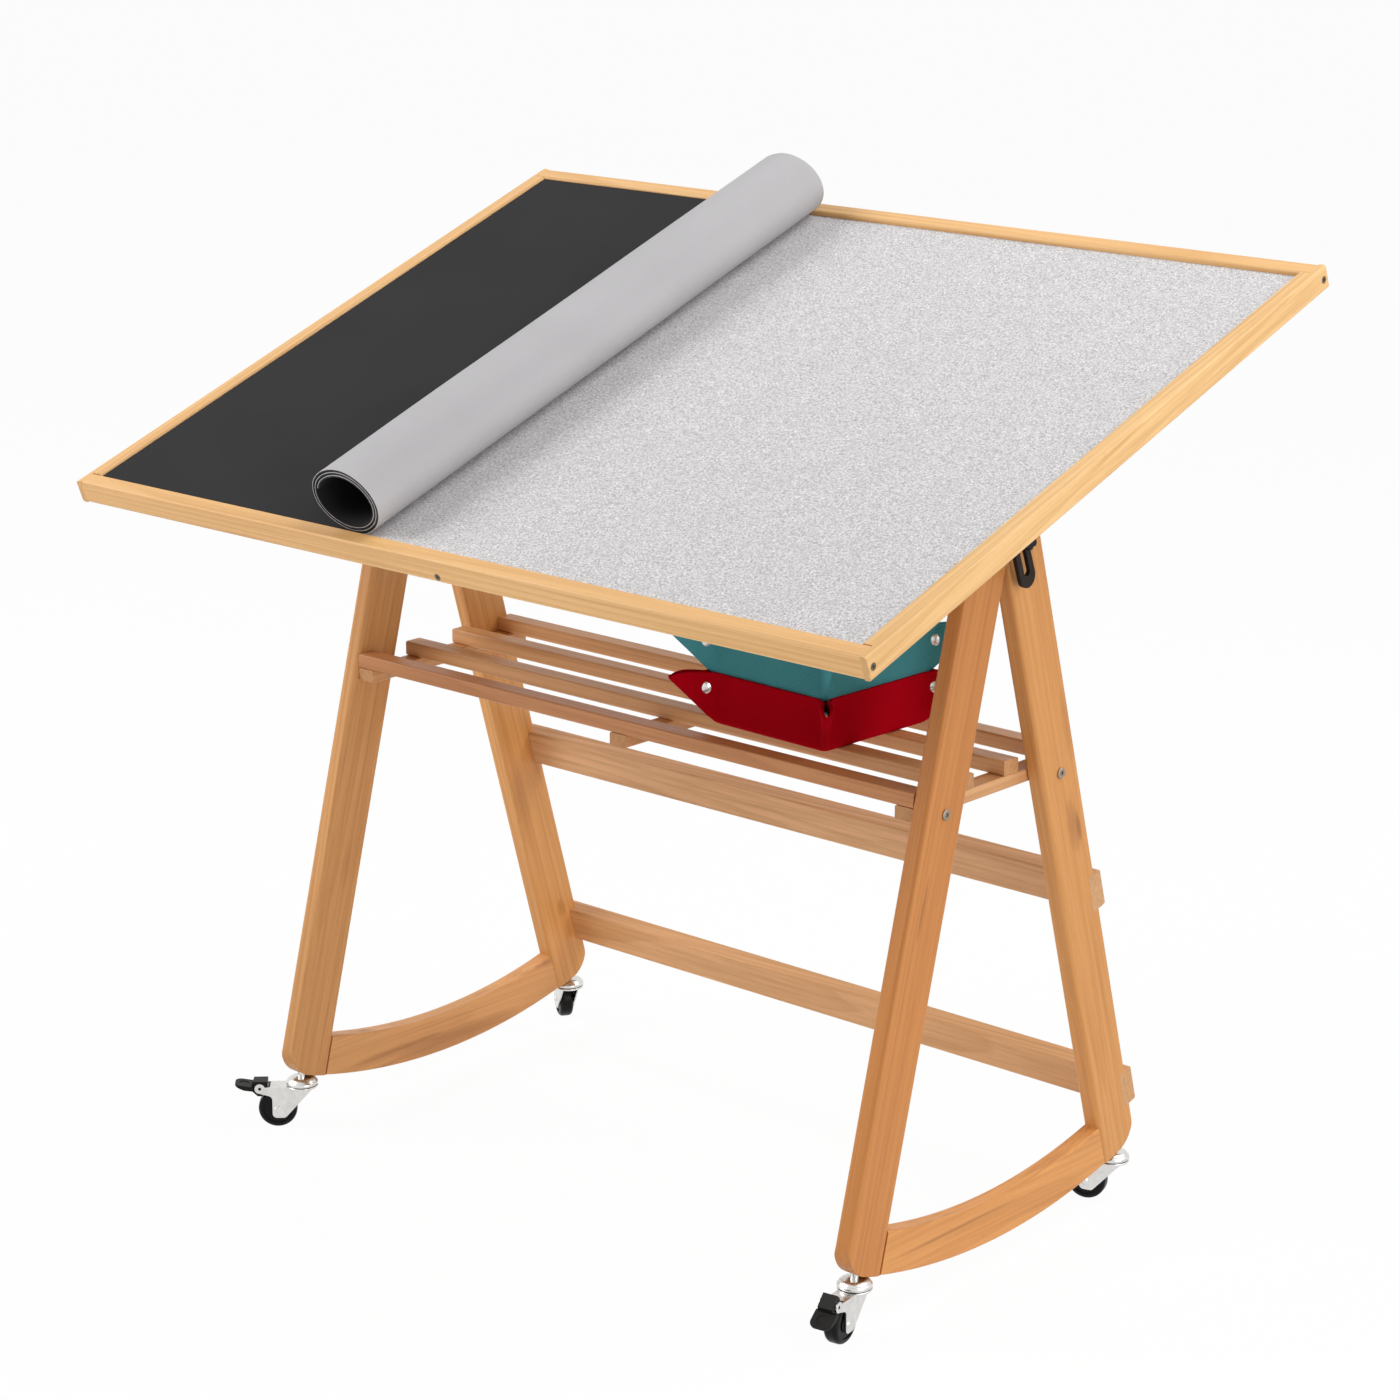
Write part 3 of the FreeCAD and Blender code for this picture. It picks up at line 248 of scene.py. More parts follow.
class Finish:
    """A material with short calls that add nodes and join them."""

    def __init__(self, name):
        self.material = bpy.data.materials.new(name)
        self.material.use_nodes = True
        self.tree = self.material.node_tree
        self.shader = self.tree.nodes["Principled BSDF"]

    def feed(self, socket, value):
        """Joins another node's socket, or sets a plain value."""
        if isinstance(value, bpy.types.NodeSocket):
            self.tree.links.new(value, socket)
        else:
            socket.default_value = value

    def node(self, kind, inputs=None, **settings):
        """A new node of a kind, with its settings and inputs."""
        made = self.tree.nodes.new("ShaderNode" + kind)
        for key, value in settings.items():
            setattr(made, key, value)
        for key, value in (inputs or {}).items():
            self.feed(made.inputs[key], value)
        return made

    def surface(self, **inputs):
        """Sets the shader's own sockets; an underscore stands for a space."""
        for key, value in inputs.items():
            self.feed(self.shader.inputs[key.replace("_", " ")], value)

    def place(self):
        """Where a point is on its own piece, in metres."""
        return self.node("TexCoord").outputs["Object"]

    def scaled(self, vector, scale):
        """A vector times a vector."""
        made = self.node("VectorMath", {0: vector, 1: scale}, operation="MULTIPLY")
        return made.outputs["Vector"]

    def added(self, first, second):
        """Two vectors added."""
        return self.node("VectorMath", {0: first, 1: second}, operation="ADD").outputs["Vector"]

    def grain(self, vector, scale, detail=3.0, rough=0.55, twist=0.0):
        """Cloudy pattern; scale is in features per metre."""
        made = self.node("TexNoise", {"Vector": vector, "Scale": scale, "Detail": detail,
                                      "Roughness": rough, "Distortion": twist})
        return made.outputs

    def drawn(self, vector, along, across, **pattern):
        """Cloudy pattern drawn out along the first direction; both scales are in features per metre."""
        return self.grain(self.scaled(vector, (along, across, across)), 1.0, **pattern)

    def ramp(self, value, stops):
        """Bends a value through given stops, each a place and its level."""
        made = self.node("ValToRGB", {"Fac": value})
        elements = made.color_ramp.elements
        while len(elements) < len(stops):
            elements.new(0.5)
        for element, (at, level) in zip(elements, stops):
            element.position = at
            element.color = (level, level, level, 1)
        return made.outputs["Color"]

    def span(self, value, low, high):
        """Stretches 0 to 1 onto a range."""
        return self.node("MapRange", {"Value": value, "To Min": low, "To Max": high}).outputs["Result"]

    def maths(self, first, second, operation="ADD"):
        """Two values joined by arithmetic."""
        return self.node("Math", {0: first, 1: second}, operation=operation).outputs["Value"]

    def mix(self, share_of_second, first, second, blend="MIX"):
        """Two colours blended."""
        made = self.node("Mix", data_type="RGBA", blend_type=blend)
        factor, first_in, second_in = made.inputs[0], made.inputs[6], made.inputs[7]
        self.feed(factor, share_of_second)
        self.feed(first_in, first)
        self.feed(second_in, second)
        return made.outputs[2]

    def bump(self, height, strength, distance):
        """Fine relief from a height pattern."""
        made = self.node("Bump", {"Height": height, "Strength": strength, "Distance": distance})
        return made.outputs["Normal"]


def rgba(shade, light=1.0):
    """A colour with full opacity, made lighter or darker."""
    return tuple(min(1.0, channel * light) for channel in shade) + (1.0,)


def principal_axes(node):
    """A node's middle and its long, broad and thin directions, from its own points."""
    mesh = frame["nodes"][node].data
    points = np.empty(len(mesh.vertices) * 3)
    mesh.vertices.foreach_get("co", points)
    points = points.reshape(-1, 3)
    middle = (points.min(0) + points.max(0)) / 2
    _, directions = np.linalg.eigh(np.cov((points - points.mean(0)).T))
    along = Vector(directions[:, 2])
    broad = Vector(directions[:, 1])
    along *= 1 if max(along, key=abs) > 0 else -1
    return Vector(middle), along, broad, along.cross(broad)


def marked(finish, wood, mark, turn, shade):
    """Wood with one knot or resin streak, drawn out along the grain."""
    place, long, wide, strength = mark
    deep = 3 * wide
    local = finish.node("Mapping", {"Vector": finish.place(), "Location": place, "Rotation": turn,
                                    "Scale": (long, wide, deep)}, vector_type="TEXTURE").outputs["Vector"]
    ragged = finish.added(finish.grain(local, scale=1.6)["Color"], CENTRED)
    reach = finish.node("VectorMath", {0: finish.added(local, ragged)}, operation="LENGTH").outputs["Value"]
    return finish.mix(finish.ramp(reach, ((0.1, strength), (0.6, 0.6 * strength), (1, 0))), wood, shade)


def pine(node, pale, dark, figure, settings):
    """Lacquered pine whose rings run along one piece, about a pith outside it."""
    chance = random.Random(node)
    middle, along, broad, thin = principal_axes(node)
    pith_across = chance.uniform(-0.05, 0.05)
    pith_below = chance.uniform(0.03, 0.08)
    lean = chance.uniform(-0.035, 0.035)
    tone = chance.uniform(0.95, 1.05)
    # The board's tint is partly its own colour and partly painted light and painted shade
    tint_and_painted_light, streaky = STOCK_AND_PAINTED_LIGHT.get(node, PLAIN_STOCK)
    pale, dark = (tuple(channel * t for channel, t in zip(shade, tint_and_painted_light)) for shade in (pale, dark))
    streak = rgba(settings.streak)
    along = (along + thin * lean).normalized()
    thin = along.cross(broad)
    turn = Matrix((along, broad, thin)).transposed().to_euler()
    finish = Finish("pine_" + node)
    pith = middle + broad * pith_across - thin * pith_below
    local = finish.node("Mapping", {"Vector": finish.place(), "Location": pith, "Rotation": turn},
                        vector_type="TEXTURE").outputs["Vector"]
    slow = finish.drawn(local, along=1.6, across=16, detail=2.0)["Color"]
    wander = finish.scaled(finish.added(slow, CENTRED), (0, settings.drift, settings.drift))
    rings = finish.node("TexWave", {"Vector": finish.added(local, wander),
                                    "Scale": math.pi / (10 * settings.ring_width)},
                        wave_type="RINGS", rings_direction="X", wave_profile="SAW")
    late = finish.ramp(rings.outputs["Fac"],
                       ((0, 0.05), (0.45, 0.12), (0.82, 0.72), (0.94, 1), (1, 0.05)))
    fibre = finish.drawn(local, along=18, across=700, rough=0.6)["Fac"]
    cloud = finish.drawn(local, along=2.2, across=26)["Fac"]
    stripe = finish.drawn(local, along=1.1, across=60, detail=4.0, rough=0.6, twist=0.4)["Fac"]
    line = finish.drawn(local, along=2.4, across=250, detail=4.0, rough=0.65)["Fac"]
    pore = finish.drawn(local, along=70, across=1500, detail=2.0)["Fac"]
    ring_share = finish.maths(late, finish.span(cloud, 0.25 * figure, 1.3 * figure), "MULTIPLY")
    wood = finish.mix(ring_share, rgba(pale, tone), rgba(dark, tone))
    wood = finish.mix(finish.ramp(cloud, ((0.3, 0), (0.75, 0.42))), wood, rgba(dark, tone))
    wood = finish.mix(finish.ramp(line, ((0.44, 0), (0.66, 0.55))), wood, rgba(dark, 0.92 * tone))
    wood = finish.mix(finish.ramp(stripe, ((0.58, 0), (0.76, streaky))), wood, streak)
    for mark in MARKS.get(node, ()):
        wood = marked(finish, wood, mark, turn, streak)
    wood = finish.mix(finish.ramp(pore, ((0.62, 0), (0.74, 0.20))), wood, streak)
    wood = finish.mix(finish.ramp(fibre, ((0.3, 0), (0.7, 0.13))), wood, rgba(dark, 0.9 * tone))
    facing = finish.node("VectorMath", {0: finish.node("TexCoord").outputs["Normal"], 1: along},
                         operation="DOT_PRODUCT").outputs["Value"]
    cut_end = finish.ramp(finish.maths(facing, 0.0, "ABSOLUTE"), ((0.80, 0), (0.96, 0.45)))
    wood = finish.mix(cut_end, wood, rgba(dark, 0.8 * tone))
    satin = settings.satin
    finish.surface(Base_Color=wood, Roughness=finish.span(fibre, satin - 0.06, satin + 0.12),
                   Specular_IOR_Level=0.30, Coat_Weight=0.06, Coat_Roughness=0.30,
                   Normal=finish.bump(finish.maths(fibre, late), strength=0.12, distance=0.0003))
    return finish.material


def felted(name, pale, dark, fleck, sheen):
    """Pressed felt: mottled fibres, a soft nap and a little sheen."""
    finish = Finish(name)
    place = finish.place()
    blotch = finish.grain(place, scale=55, rough=0.6)["Fac"]
    mottle = finish.grain(place, scale=560, detail=4.0, rough=0.7, twist=0.8)["Fac"]
    hair = finish.grain(place, scale=1500, rough=0.7, twist=2.2)["Fac"]
    tone = finish.mix(finish.ramp(mottle, ((0.36, 0), (0.64, 1))), rgba(dark), rgba(pale))
    tone = finish.mix(fleck, rgba(pale), tone)
    tone = finish.mix(finish.ramp(hair, ((0.55, 0), (0.75, 0.35 * fleck))), tone, rgba(dark, 0.75))
    tone = finish.mix(finish.ramp(blotch, ((0.35, 0), (0.7, 0.12))), tone, rgba(dark))
    nap = finish.maths(mottle, hair)
    finish.surface(Base_Color=tone, Roughness=finish.span(hair, 0.86, 1.0), Specular_IOR_Level=0.03,
                   Sheen_Weight=sheen, Sheen_Roughness=0.45,
                   Normal=finish.bump(nap, strength=0.35, distance=0.0006))
    return finish.material


def coated_cloth(name, shade, sheen, spread):
    """Smooth face of the cover mat, with faint unevenness."""
    finish = Finish(name)
    place = finish.place()
    cloud = finish.grain(place, scale=9)["Fac"]
    nap = finish.grain(place, scale=900, rough=0.65)["Fac"]
    tone = finish.mix(finish.ramp(cloud, ((0.3, 0), (0.7, 1))),
                      rgba(shade, 1 - spread), rgba(shade, 1 + spread))
    tone = finish.mix(finish.ramp(nap, ((0.4, 0), (0.7, 0.22))), tone, rgba(shade, 0.8))
    finish.surface(Base_Color=tone, Roughness=finish.span(nap, 0.60, 0.80), Specular_IOR_Level=0.07,
                   Sheen_Weight=sheen, Sheen_Roughness=0.5,
                   Normal=finish.bump(nap, strength=0.12, distance=0.0003))
    return finish.material


def metal(name, shade, rough, wear):
    """Plated or darkened metal with drawn marks and handling dulling."""
    finish = Finish(name)
    place = finish.place()
    cloud = finish.grain(place, scale=120, detail=4.0, rough=0.6)["Fac"]
    mark = finish.grain(finish.scaled(place, (900, 900, 160)), scale=1.0)["Fac"]
    tone = finish.mix(finish.ramp(cloud, ((0.35, 0), (0.75, wear))), rgba(shade), rgba(shade, 0.55))
    finish.surface(Base_Color=tone, Metallic=1.0, Roughness=finish.span(cloud, rough, rough + 0.16),
                   Normal=finish.bump(mark, strength=0.05, distance=0.0002))
    return finish.material


def moulded(name, shade, rough, grain_size):
    """Moulded plastic or paint with a fine sparked texture."""
    finish = Finish(name)
    place = finish.place()
    spark = finish.grain(place, scale=1 / grain_size, detail=2.0)["Fac"]
    cloud = finish.grain(place, scale=40)["Fac"]
    tone = finish.mix(finish.ramp(cloud, ((0.3, 0), (0.75, 1))), rgba(shade), rgba(shade, 1.7))
    finish.surface(Base_Color=tone, Roughness=finish.span(cloud, rough, rough + 0.14),
                   Specular_IOR_Level=0.14, Normal=finish.bump(spark, strength=0.10, distance=0.0002))
    return finish.material


def plywood(name, shade):
    """Unfinished panel face with broad rotary figure."""
    finish = Finish(name)
    place = finish.place()
    figure = finish.drawn(place, along=3, across=22, detail=5.0, rough=0.6, twist=1.2)["Fac"]
    fibre = finish.drawn(place, along=30, across=700)["Fac"]
    tone = finish.mix(finish.ramp(figure, ((0.3, 0), (0.7, 1))), rgba(shade, 0.82), rgba(shade, 1.12))
    tone = finish.mix(finish.ramp(fibre, ((0.4, 0), (0.7, 0.3))), tone, rgba(shade, 0.6))
    finish.surface(Base_Color=tone, Roughness=finish.span(fibre, 0.6, 0.8),
                   Normal=finish.bump(fibre, strength=0.2, distance=0.0003))
    return finish.material


def dress(nodes, material):
    """Gives one finish to several CAD nodes."""
    for node in nodes:
        mesh_slots = frame["nodes"][node].data.materials
        mesh_slots.clear()
        mesh_slots.append(material)


# Shapes


def smooth_step(low, high, value):
    """0 below low, 1 above high, and a smooth rise between."""
    share_up = np.clip((value - low) / (high - low), 0, 1)
    return share_up * share_up * (3 - 2 * share_up)


def board_axes():
    """The tilted board's own directions: across, up the slope and off the felt."""
    slide = next(joint for joint in frame["joints"] if joint["name"] == "board_height")
    off = Vector(slide["axis"]).normalized()
    across = Vector((1, 0, 0))
    return Matrix((across, off.cross(across), off))


def board_box(node):
    """A node's lowest and highest corner along the board's own directions."""
    turn = board_axes()
    points = np.array([turn @ vertex.co for vertex in frame["nodes"][node].data.vertices])
    return points.min(0), points.max(0)


def thick_sheet(name, lower, upper, lower_finish, upper_finish):
    """Closed sheet between two grids of points, each ply with its own finish.

    Its quads start at the corner that splits them towards the nearest corner of the sheet.
    """
    rows, columns = lower.shape[:2]
    middle = lower + LOWER_PLY * (upper - lower)
    mesh = bmesh.new()

    def grid(points):
        return [[mesh.verts.new(point) for point in row] for row in points]

    def rim(points):
        """The grid's border, once round."""
        return ([points[0][c] for c in range(columns)] + [points[r][columns - 1] for r in range(1, rows)]
                + [points[rows - 1][c] for c in range(columns - 2, -1, -1)]
                + [points[r][0] for r in range(rows - 2, 0, -1)])

    under, over = grid(lower), grid(upper)
    waist = [mesh.verts.new(point) for point in rim(middle)]
    for r in range(rows - 1):
        for c in range(columns - 1):
            ring = [(r, c), (r, c + 1), (r + 1, c + 1), (r + 1, c)]
            if (r < rows // 2) != (c < columns // 2):
                ring = ring[1:] + ring[:1]
            mesh.faces.new([over[a][b] for a, b in ring]).material_index = 1
            mesh.faces.new([under[a][b] for a, b in ring[::-1]])
    for first, second, finish in ((rim(under), waist, 0), (waist, rim(over), 1)):
        for k in range(len(waist)):
            n = (k + 1) % len(waist)
            mesh.faces.new((first[k], first[n], second[n], second[k])).material_index = finish
    bmesh.ops.recalc_face_normals(mesh, faces=mesh.faces)
    for face in mesh.faces:
        face.smooth = True
    for edge in mesh.edges:
        edge.smooth = edge.calc_face_angle(0) < SHARP_EDGE
    data = bpy.data.meshes.new(name)
    mesh.to_mesh(data)
    mesh.free()
    data.materials.append(lower_finish)
    data.materials.append(upper_finish)
    piece = bpy.data.objects.new(name, data)
    bpy.context.scene.collection.objects.link(piece)
    return piece


def uneven(points, scale, height):
    """Smooth random heights over a grid of points."""
    return np.array([[height * noise.noise(Vector(point) * scale) for point in row] for row in points])


# Pieces


def stretch_felt(settings):
    """The board's felt: a slab of nap drawn tight between the rails."""
    low, high = board_box("felt_surface")
    turn = np.array(board_axes())
    edge_round, edge_drop = 2.5 * MILLIMETRE, 0.5 * MILLIMETRE
    nap_scale, nap_height, nap_room = 60, 0.10 * MILLIMETRE, 0.12 * MILLIMETRE
    across = np.linspace(low[0], high[0], FELT_COLUMNS)
    along = np.linspace(low[1], high[1], FELT_ROWS)
    grid = np.array([[(x, y, 0) for x in across] for y in along])
    edge = np.minimum.reduce([grid[..., 0] - low[0], high[0] - grid[..., 0],
                              grid[..., 1] - low[1], high[1] - grid[..., 1]])
    rounded = smooth_step(0, edge_round, edge)
    lower, upper = grid.copy(), grid.copy()
    lower[..., 2] = low[2]
    nap = uneven(grid, nap_scale, nap_height)
    upper[..., 2] = high[2] - nap_room + nap * rounded - edge_drop * (1 - rounded)
    felt = felted("board_felt", settings.felt_pale, settings.felt_dark, fleck=1.0, sheen=0.08)
    piece = thick_sheet("board_felt", lower @ turn, upper @ turn, felt, felt)
    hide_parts("felt_surface")
    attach(piece, "board")


def mat_line(low, high, settings):
    """The mat in cross section: its middle, headings out of its upper face, its roll's turns and centre."""
    half_thick = settings.mat_thick / 2
    roll_middle = high[0] - settings.roll_wide / 2
    roll_height = (high[2] - low[2]) / 2
    flat_x = np.linspace(low[0], roll_middle, MAT_FLAT_STEPS, endpoint=False)
    flat = np.stack([flat_x, np.full(MAT_FLAT_STEPS, half_thick)], 1)
    steps = int(settings.roll_turns * MAT_TURN_STEPS)
    turns = np.linspace(0, settings.roll_turns, steps + 1)
    angle = 2 * math.pi * turns - math.pi / 2
    wide = settings.roll_wide / 2 - half_thick - settings.roll_pitch * turns
    tall = roll_height - half_thick - settings.roll_pitch * turns
    roll = np.stack([roll_middle + wide * np.cos(angle), roll_height + tall * np.sin(angle)], 1)
    line = np.concatenate([flat, roll])
    run = np.gradient(line, axis=0)
    run /= np.linalg.norm(run, axis=1)[:, None]
    out = np.stack([-run[:, 1], run[:, 0]], 1)
    return line, out, turns, (roll_middle, roll_height)


def roll_mat(settings):
    """The cover mat: flat from the left rail, then wound up towards it."""
    low, high = board_box("cover_mat")
    turn = np.array(board_axes())
    line, out, turns, centre = mat_line(low, high, settings)
    flat, roll = line[:MAT_FLAT_STEPS], line[MAT_FLAT_STEPS:]
    # The flat part lies true near the roll, and the roll's waves grow over the start of its first turn
    calm_reach, settle_turns = 0.04, 0.2
    # Scales of the noise across and along the flat part, and the layer of the noise that is used there
    flat_across, flat_along, flat_layer = 5, 4, 0.3
    # Scales of the noise round and along the roll, and how far its waves are drawn in
    roll_round, roll_along, roll_in = 1.3, 5, 0.6
    calm = smooth_step(0, calm_reach, centre[0] - flat[:, 0])
    settle = smooth_step(0, settle_turns, turns)
    swing = roll - centre
    heading = swing / np.linalg.norm(swing, axis=1)[:, None]
    half_thick = settings.mat_thick / 2
    lower, upper = [], []
    for k in range(MAT_ROWS):
        depth = low[1] + k / (MAT_ROWS - 1) * (high[1] - low[1])
        lift = np.array([noise.noise(Vector((x * flat_across, depth * flat_along, flat_layer)))
                         for x in flat[:, 0]])
        bulge = np.array([noise.noise(Vector((a * roll_round, b * roll_round, depth * roll_along)))
                          for a, b in heading])
        middle = line.copy()
        middle[:MAT_FLAT_STEPS, 1] += settings.mat_wave * (0.5 + 0.5 * lift) * calm
        middle[MAT_FLAT_STEPS:] += heading * (settings.mat_wave * (bulge - roll_in) * settle)[:, None]
        for face, side in ((lower, -1), (upper, 1)):
            place = middle + side * out * half_thick
            face.append(np.stack([place[:, 0], np.full(len(line), depth), low[2] + place[:, 1]], 1))
    grey = coated_cloth("mat_grey_face", settings.mat_grey, sheen=0.05, spread=0.03)
    black = coated_cloth("mat_black_face", settings.mat_black, sheen=0.03, spread=0.10)
    piece = thick_sheet("rolled_cover_mat", np.array(lower) @ turn, np.array(upper) @ turn, grey, black)
    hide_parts("cover_mat")
    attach(piece, "mat")


def square_sheet(edge, radius):
    """A tray's flat sheet as a grid drawn in at its corners: distances from the middle, and their signs."""
    corner_pull = 0.45
    ruled = np.linspace(-edge, edge, TRAY_GRID)
    p, q = np.meshgrid(ruled, ruled, indexing="ij")
    size_p, size_q = np.abs(p), np.abs(q)
    past_p = np.clip((size_p - edge + radius) / radius, 0, 1)
    past_q = np.clip((size_q - edge + radius) / radius, 0, 1)
    both = (past_p > 0) & (past_q > 0)
    round_p = edge - radius + radius * past_p * np.sqrt(1 - corner_pull * past_q ** 2)
    round_q = edge - radius + radius * past_q * np.sqrt(1 - corner_pull * past_p ** 2)
    return np.where(both, round_p, size_p), np.where(both, round_q, size_q), np.sign(p), np.sign(q)


def tray_sheet(settings):
    """Middle of a folded tray as a grid, standing on the origin: base, leaning walls and pinched ears."""
    felt = settings.tray_felt
    half = settings.tray_base / 2 - felt / 2
    lean = settings.tray_flare / settings.tray_tall
    size_p, size_q, sign_p, sign_q = square_sheet(half + settings.tray_tall - felt, settings.tray_corner)
    # Each point belongs to the wall that it is further up, and may run past that wall's end into an ear
    up_p, up_q = size_p - half, size_q - half
    first = up_p >= up_q
    up, past = np.where(first, up_p, up_q), np.where(first, up_q, up_p)
    beside = np.where(first, size_q, size_p)
    height = np.clip(up, 0, None)
    # The snaps draw the corners in, a wall bows out between them and turns into its ear round a small radius
    draw_reach, bow_reach = 0.030, 0.030
    turn_reach, turn_radius, least_radius = 0.012, 0.004, 1e-6
    draw = settings.tray_draw * smooth_step(0, draw_reach, height)
    corner = half - draw + lean * height
    run = beside - corner
    grown = np.clip(height / turn_reach, 0, 1)
    soft = turn_radius * grown + least_radius
    level = (run + np.sqrt(run ** 2 + soft ** 2)) / 2
    outward = run / ROOT_TWO + (1 - 1 / ROOT_TWO) * level
    # An ear opens where the tray above stands in it, and its plies bulge apart beyond the snap
    closed, opened = 0.55 * felt, 1.65 * felt
    open_from, open_to = -0.006, -0.001
    snap_reach, least_ear = 0.007, 0.004
    gape_from, gape_to = 0.016, 0.044
    fold_reach = 0.0035
    lifted = height - settings.tray_stack
    fold_above = (half + lean * lifted) * ROOT_TWO + (1 - lean) * lifted
    inside = fold_above - (corner * ROOT_TWO + outward)
    flap = (closed + (opened - closed) * smooth_step(open_from, open_to, inside)) * grown
    free = np.clip((outward - snap_reach) / np.clip(height - snap_reach, least_ear, None), 0, 1)
    gape = np.sin(math.pi * free) * smooth_step(gape_from, gape_to, height)
    apart = -run / ROOT_TWO
    spread = (apart + flap + np.sqrt((apart - flap) ** 2 + soft ** 2)) / 2
    near_fold = np.clip((up - past) / fold_reach, 0, 1)
    spread = (spread + settings.tray_gape * gape) * np.sqrt(1 - (1 - near_fold) ** 2)
    bow = draw * (1 - smooth_step(half - bow_reach, half, beside))
    ahead = corner + (outward + spread) / ROOT_TWO + bow
    side = corner + (outward - spread) / ROOT_TWO
    on_wall = up > 0
    ahead = np.where(on_wall, ahead, np.where(first, size_p, size_q))
    side = np.where(on_wall, side, beside)
    x = np.where(first, ahead, side) * sign_p
    y = np.where(first, side, ahead) * sign_q
    points = np.stack([x, y, felt / 2 + height * math.cos(math.atan(lean))], 2)
    # Where the felt rounds off: along the base's edges, at its corners and at the ears' folds
    edge_reach, corner_reach, crease_reach = 0.0025, 0.007, 0.003
    edge_share, crease_share, rounds = 0.6, 0.35, 12
    near_edge = edge_share * np.exp(-(up / edge_reach) ** 2)
    near_corner = np.exp(-(up_p ** 2 + up_q ** 2) / corner_reach ** 2)
    crease = crease_share * np.exp(-((up - past) / crease_reach) ** 2) * (past > 0)
    return relaxed(points, np.maximum.reduce([near_edge, near_corner, crease]), rounds)


def relaxed(points, weight, rounds):
    """Evens a grid out where the weight says, as stiff felt rounds off a fold."""
    pace = 0.6
    for _ in range(rounds):
        padded = np.pad(points, ((1, 1), (1, 1), (0, 0)), mode="edge")
        mean = (padded[:-2, 1:-1] + padded[2:, 1:-1] + padded[1:-1, :-2] + padded[1:-1, 2:]) / 4
        points = points + (mean - points) * (pace * weight)[..., None]
    return points


def offset_sheets(points, thick):
    """The two faces of a sheet about its middle."""
    down = np.gradient(points, axis=0)
    over = np.gradient(points, axis=1)
    out = np.cross(down, over)
    out /= np.linalg.norm(out, axis=2)[..., None]
    return points - out * thick / 2, points + out * thick / 2


def fold_tray(body, shade, settings):
    """One folded tray where its plain solid stands."""
    low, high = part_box(body)
    place = np.array(((low.x + high.x) / 2, (low.y + high.y) / 2, low.z))
    turn = np.array(Matrix.Rotation(-settings.tray_turn, 3, "Z"))
    points = tray_sheet(settings) @ turn
    lower, upper = offset_sheets(points, settings.tray_felt)
    slot, under = TRAYS[body]
    pale, dark = (rgba(shade, light)[:3] for light in (1.12, 0.78))
    felt = felted(slot, pale, dark, fleck=0.5, sheen=0.0)
    piece = thick_sheet("folded_" + body, lower + place, upper + place, felt, felt)
    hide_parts(body)
    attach(piece, body)


# Operators


class TABLE_OT_stage(bpy.types.Operator):
    """Sets up the pale floor, the soft lights and the camera"""

    bl_idname = "table.stage"
    bl_label = "Stage"

    def execute(self, context):
        settings = context.scene.table_stage
        context.scene.view_settings.view_transform = "Standard"
        self.sky(context.scene, settings)
        self.floor(context.scene, settings)
        for name, place, height, size in LIGHTS:
            power = getattr(settings, name + "_power")
            self.light(context.scene, name + "_light", Vector(place), Vector((0, 0, height)), size, power)
        camera = bpy.data.objects.new("camera", bpy.data.cameras.new("camera"))
        camera.data.lens = settings.lens
        camera.data.sensor_width = SENSOR_WIDTH
        camera.location = settings.camera_place
        camera.rotation_euler = (math.pi / 2 - settings.camera_dip, 0, settings.camera_heading)
        context.scene.collection.objects.link(camera)
        context.scene.camera = camera
        return {"FINISHED"}

    @staticmethod
    def seen(tree):
        """1 for rays that reach the background from the camera or off a shiny piece."""
        path = tree.nodes.new("ShaderNodeLightPath")
        total = path.outputs["Is Camera Ray"]
        for kind in ("Is Glossy Ray", "Is Transmission Ray"):
            either = tree.nodes.new("ShaderNodeMath")
            either.operation = "MAXIMUM"
            tree.links.new(total, either.inputs[0])
            tree.links.new(path.outputs[kind], either.inputs[1])
            total = either.outputs[0]
        return total

    def sky(self, scene, settings):
        """Soft light from all round, with a white background in view."""
        scene.world = bpy.data.worlds.new("studio")
        scene.world.use_nodes = True
        tree = scene.world.node_tree
        soft = tree.nodes["Background"]
        soft.inputs["Color"].default_value = WHITE
        soft.inputs["Strength"].default_value = settings.sky
        white = tree.nodes.new("ShaderNodeBackground")
        white.inputs["Color"].default_value = WHITE
        white.inputs["Strength"].default_value = 1
        both = tree.nodes.new("ShaderNodeMixShader")
        tree.links.new(self.seen(tree), both.inputs[0])
        tree.links.new(soft.outputs[0], both.inputs[1])
        tree.links.new(white.outputs[0], both.inputs[2])
        tree.links.new(both.outputs[0], tree.nodes["World Output"].inputs["Surface"])

    def floor(self, scene, settings):
        """Wide pale floor that keeps the table's shadow."""
        reach = FLOOR_SIDE / 2
        corners = [(a * reach, b * reach, 0) for a, b in ((-1, -1), (1, -1), (1, 1), (-1, 1))]
        mesh = bpy.data.meshes.new("floor")
        mesh.from_pydata(corners, [], [(0, 1, 2, 3)])
        floor = bpy.data.objects.new("floor", mesh)
        scene.collection.objects.link(floor)
        finish = Finish("floor")
        finish.surface(Base_Color=rgba(settings.floor), Roughness=0.9, Specular_IOR_Level=0.1)
        glow = finish.node("Emission", {"Color": WHITE, "Strength": 1.0})
        lifted = finish.maths(self.seen(finish.tree), settings.floor_white, "MULTIPLY")
        both = finish.node("MixShader", {0: lifted, 1: finish.shader.outputs[0], 2: glow.outputs[0]})
        output = finish.tree.nodes["Material Output"]
        finish.tree.links.new(both.outputs[0], output.inputs["Surface"])
        mesh.materials.append(finish.material)

    @staticmethod
    def light(scene, name, place, target, size, power):
        """Square soft light aimed at the table."""
        lamp = bpy.data.lights.new(name, "AREA")
        lamp.size = size
        lamp.energy = power
        holder = bpy.data.objects.new(name, lamp)
        holder.location = place
        holder.rotation_euler = (target - place).to_track_quat("-Z", "Y").to_euler()
        scene.collection.objects.link(holder)


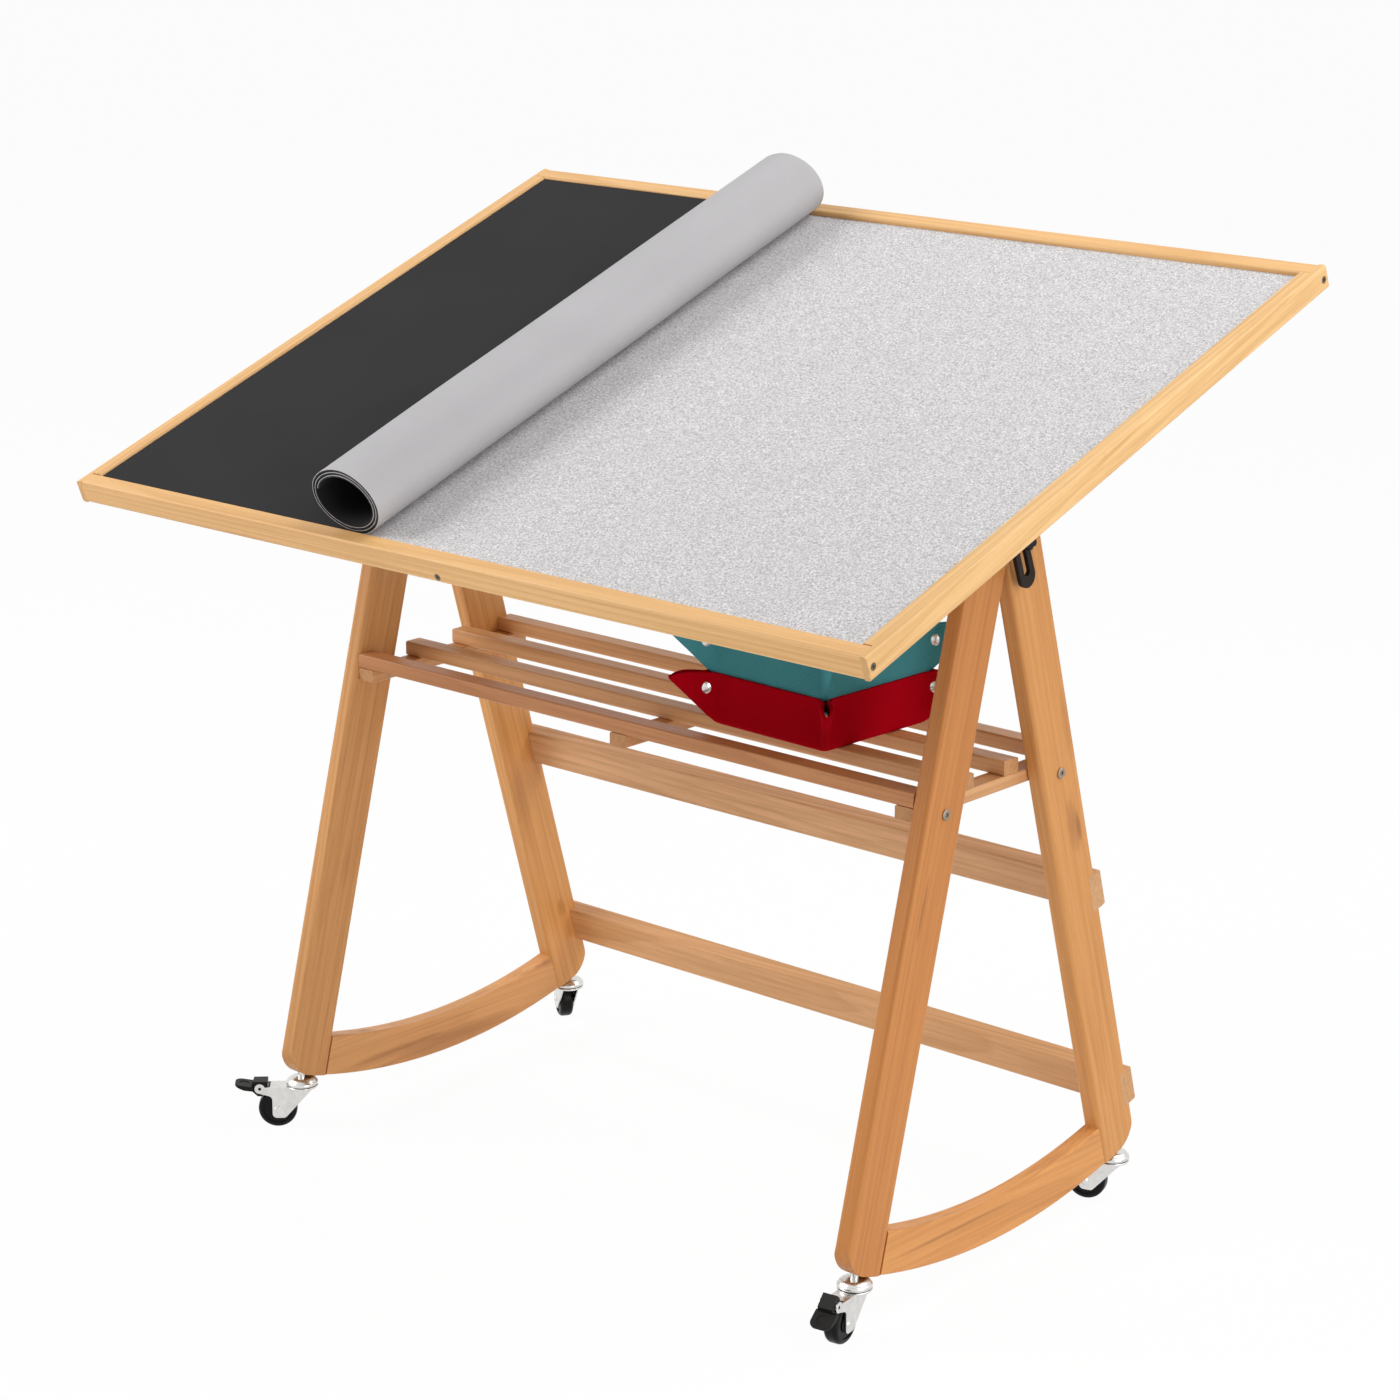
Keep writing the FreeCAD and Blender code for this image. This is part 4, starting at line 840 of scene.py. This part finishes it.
class TABLE_OT_wood(bpy.types.Operator):
    """Gives every wooden piece its own run of pine grain"""

    bl_idname = "table.wood"
    bl_label = "Wood"

    def execute(self, context):
        settings = context.scene.table_wood
        for nodes, kind, figure in WOODS:
            pale, dark = getattr(settings, kind + "_pale"), getattr(settings, kind + "_dark")
            for node in nodes:
                dress([node], pine(node, pale, dark, figure, settings))
        dress(["board_panel"], plywood("panel_ply", context.scene.table_fittings.ply))
        return {"FINISHED"}


class TABLE_OT_fittings(bpy.types.Operator):
    """Finishes the casters, clamps, brackets, screws and snaps"""

    bl_idname = "table.fittings"
    bl_label = "Fittings"

    def execute(self, context):
        settings = context.scene.table_fittings
        dress(ZINC, metal("zinc_plate", settings.zinc, rough=0.16, wear=0.35))
        dress(SNAPS, metal("snap_metal", settings.zinc, rough=0.16, wear=0.5))
        dress(BOLTS, metal("bolt_steel", settings.bolt, rough=0.30, wear=0.6))
        dress(SCREWS, metal("screw_steel", settings.screw, rough=0.35, wear=0.7))
        dress(WHEELS, moulded("caster_nylon", settings.wheel, rough=0.26, grain_size=0.0012))
        dress(BLACK_PLASTIC, moulded("black_plastic", settings.plastic, rough=0.34, grain_size=0.0009))
        dress(BLACK_STEEL, moulded("black_paint", settings.steel, rough=0.42, grain_size=0.0006))
        dress(NYLON, moulded("slider_nylon", settings.nylon, rough=0.45, grain_size=0.0008))
        return {"FINISHED"}


class TABLE_OT_felt(bpy.types.Operator):
    """Lays the felt on the board"""

    bl_idname = "table.felt"
    bl_label = "Felt"

    def execute(self, context):
        stretch_felt(context.scene.table_cloth)
        return {"FINISHED"}


class TABLE_OT_mat(bpy.types.Operator):
    """Lays the cover mat and rolls it back"""

    bl_idname = "table.mat"
    bl_label = "Cover mat"

    def execute(self, context):
        roll_mat(context.scene.table_cloth)
        return {"FINISHED"}


class TABLE_OT_trays(bpy.types.Operator):
    """Folds the two felt trays"""

    bl_idname = "table.trays"
    bl_label = "Trays"

    def execute(self, context):
        settings = context.scene.table_cloth
        fold_tray("tray_red", settings.red, settings)
        fold_tray("tray_teal", settings.teal, settings)
        return {"FINISHED"}


OPERATORS = (TABLE_OT_stage, TABLE_OT_wood, TABLE_OT_fittings, TABLE_OT_felt, TABLE_OT_mat, TABLE_OT_trays)


class TABLE_PT_panel(bpy.types.Panel):
    """Lists the steps that dress the table, and their settings"""

    bl_idname = "TABLE_PT_panel"
    bl_label = "Jigsaw table"
    bl_space_type = "VIEW_3D"
    bl_region_type = "UI"
    bl_category = "Jigsaw table"

    def draw(self, context):
        for operator in OPERATORS:
            self.layout.operator(operator.bl_idname)
        for name, group in SETTINGS.items():
            box = self.layout.box()
            for key in group.__annotations__:
                box.prop(getattr(context.scene, name), key)


def register():
    """Adds the settings, the operators and the panel."""
    for group in SETTINGS.values():
        bpy.utils.register_class(group)
    for name, group in SETTINGS.items():
        setattr(bpy.types.Scene, name, bpy.props.PointerProperty(type=group))
    for kind in OPERATORS + (TABLE_PT_panel,):
        bpy.utils.register_class(kind)


def unregister():
    """Takes them away again."""
    for kind in (TABLE_PT_panel,) + OPERATORS[::-1]:
        bpy.utils.unregister_class(kind)
    for name, group in SETTINGS.items():
        delattr(bpy.types.Scene, name)
        bpy.utils.unregister_class(group)


def main():
    """Dresses the table."""
    register()
    bpy.ops.table.stage()
    bpy.ops.table.wood()
    bpy.ops.table.fittings()
    bpy.ops.table.felt()
    bpy.ops.table.mat()
    bpy.ops.table.trays()


if __name__ == "__main__":
    main()
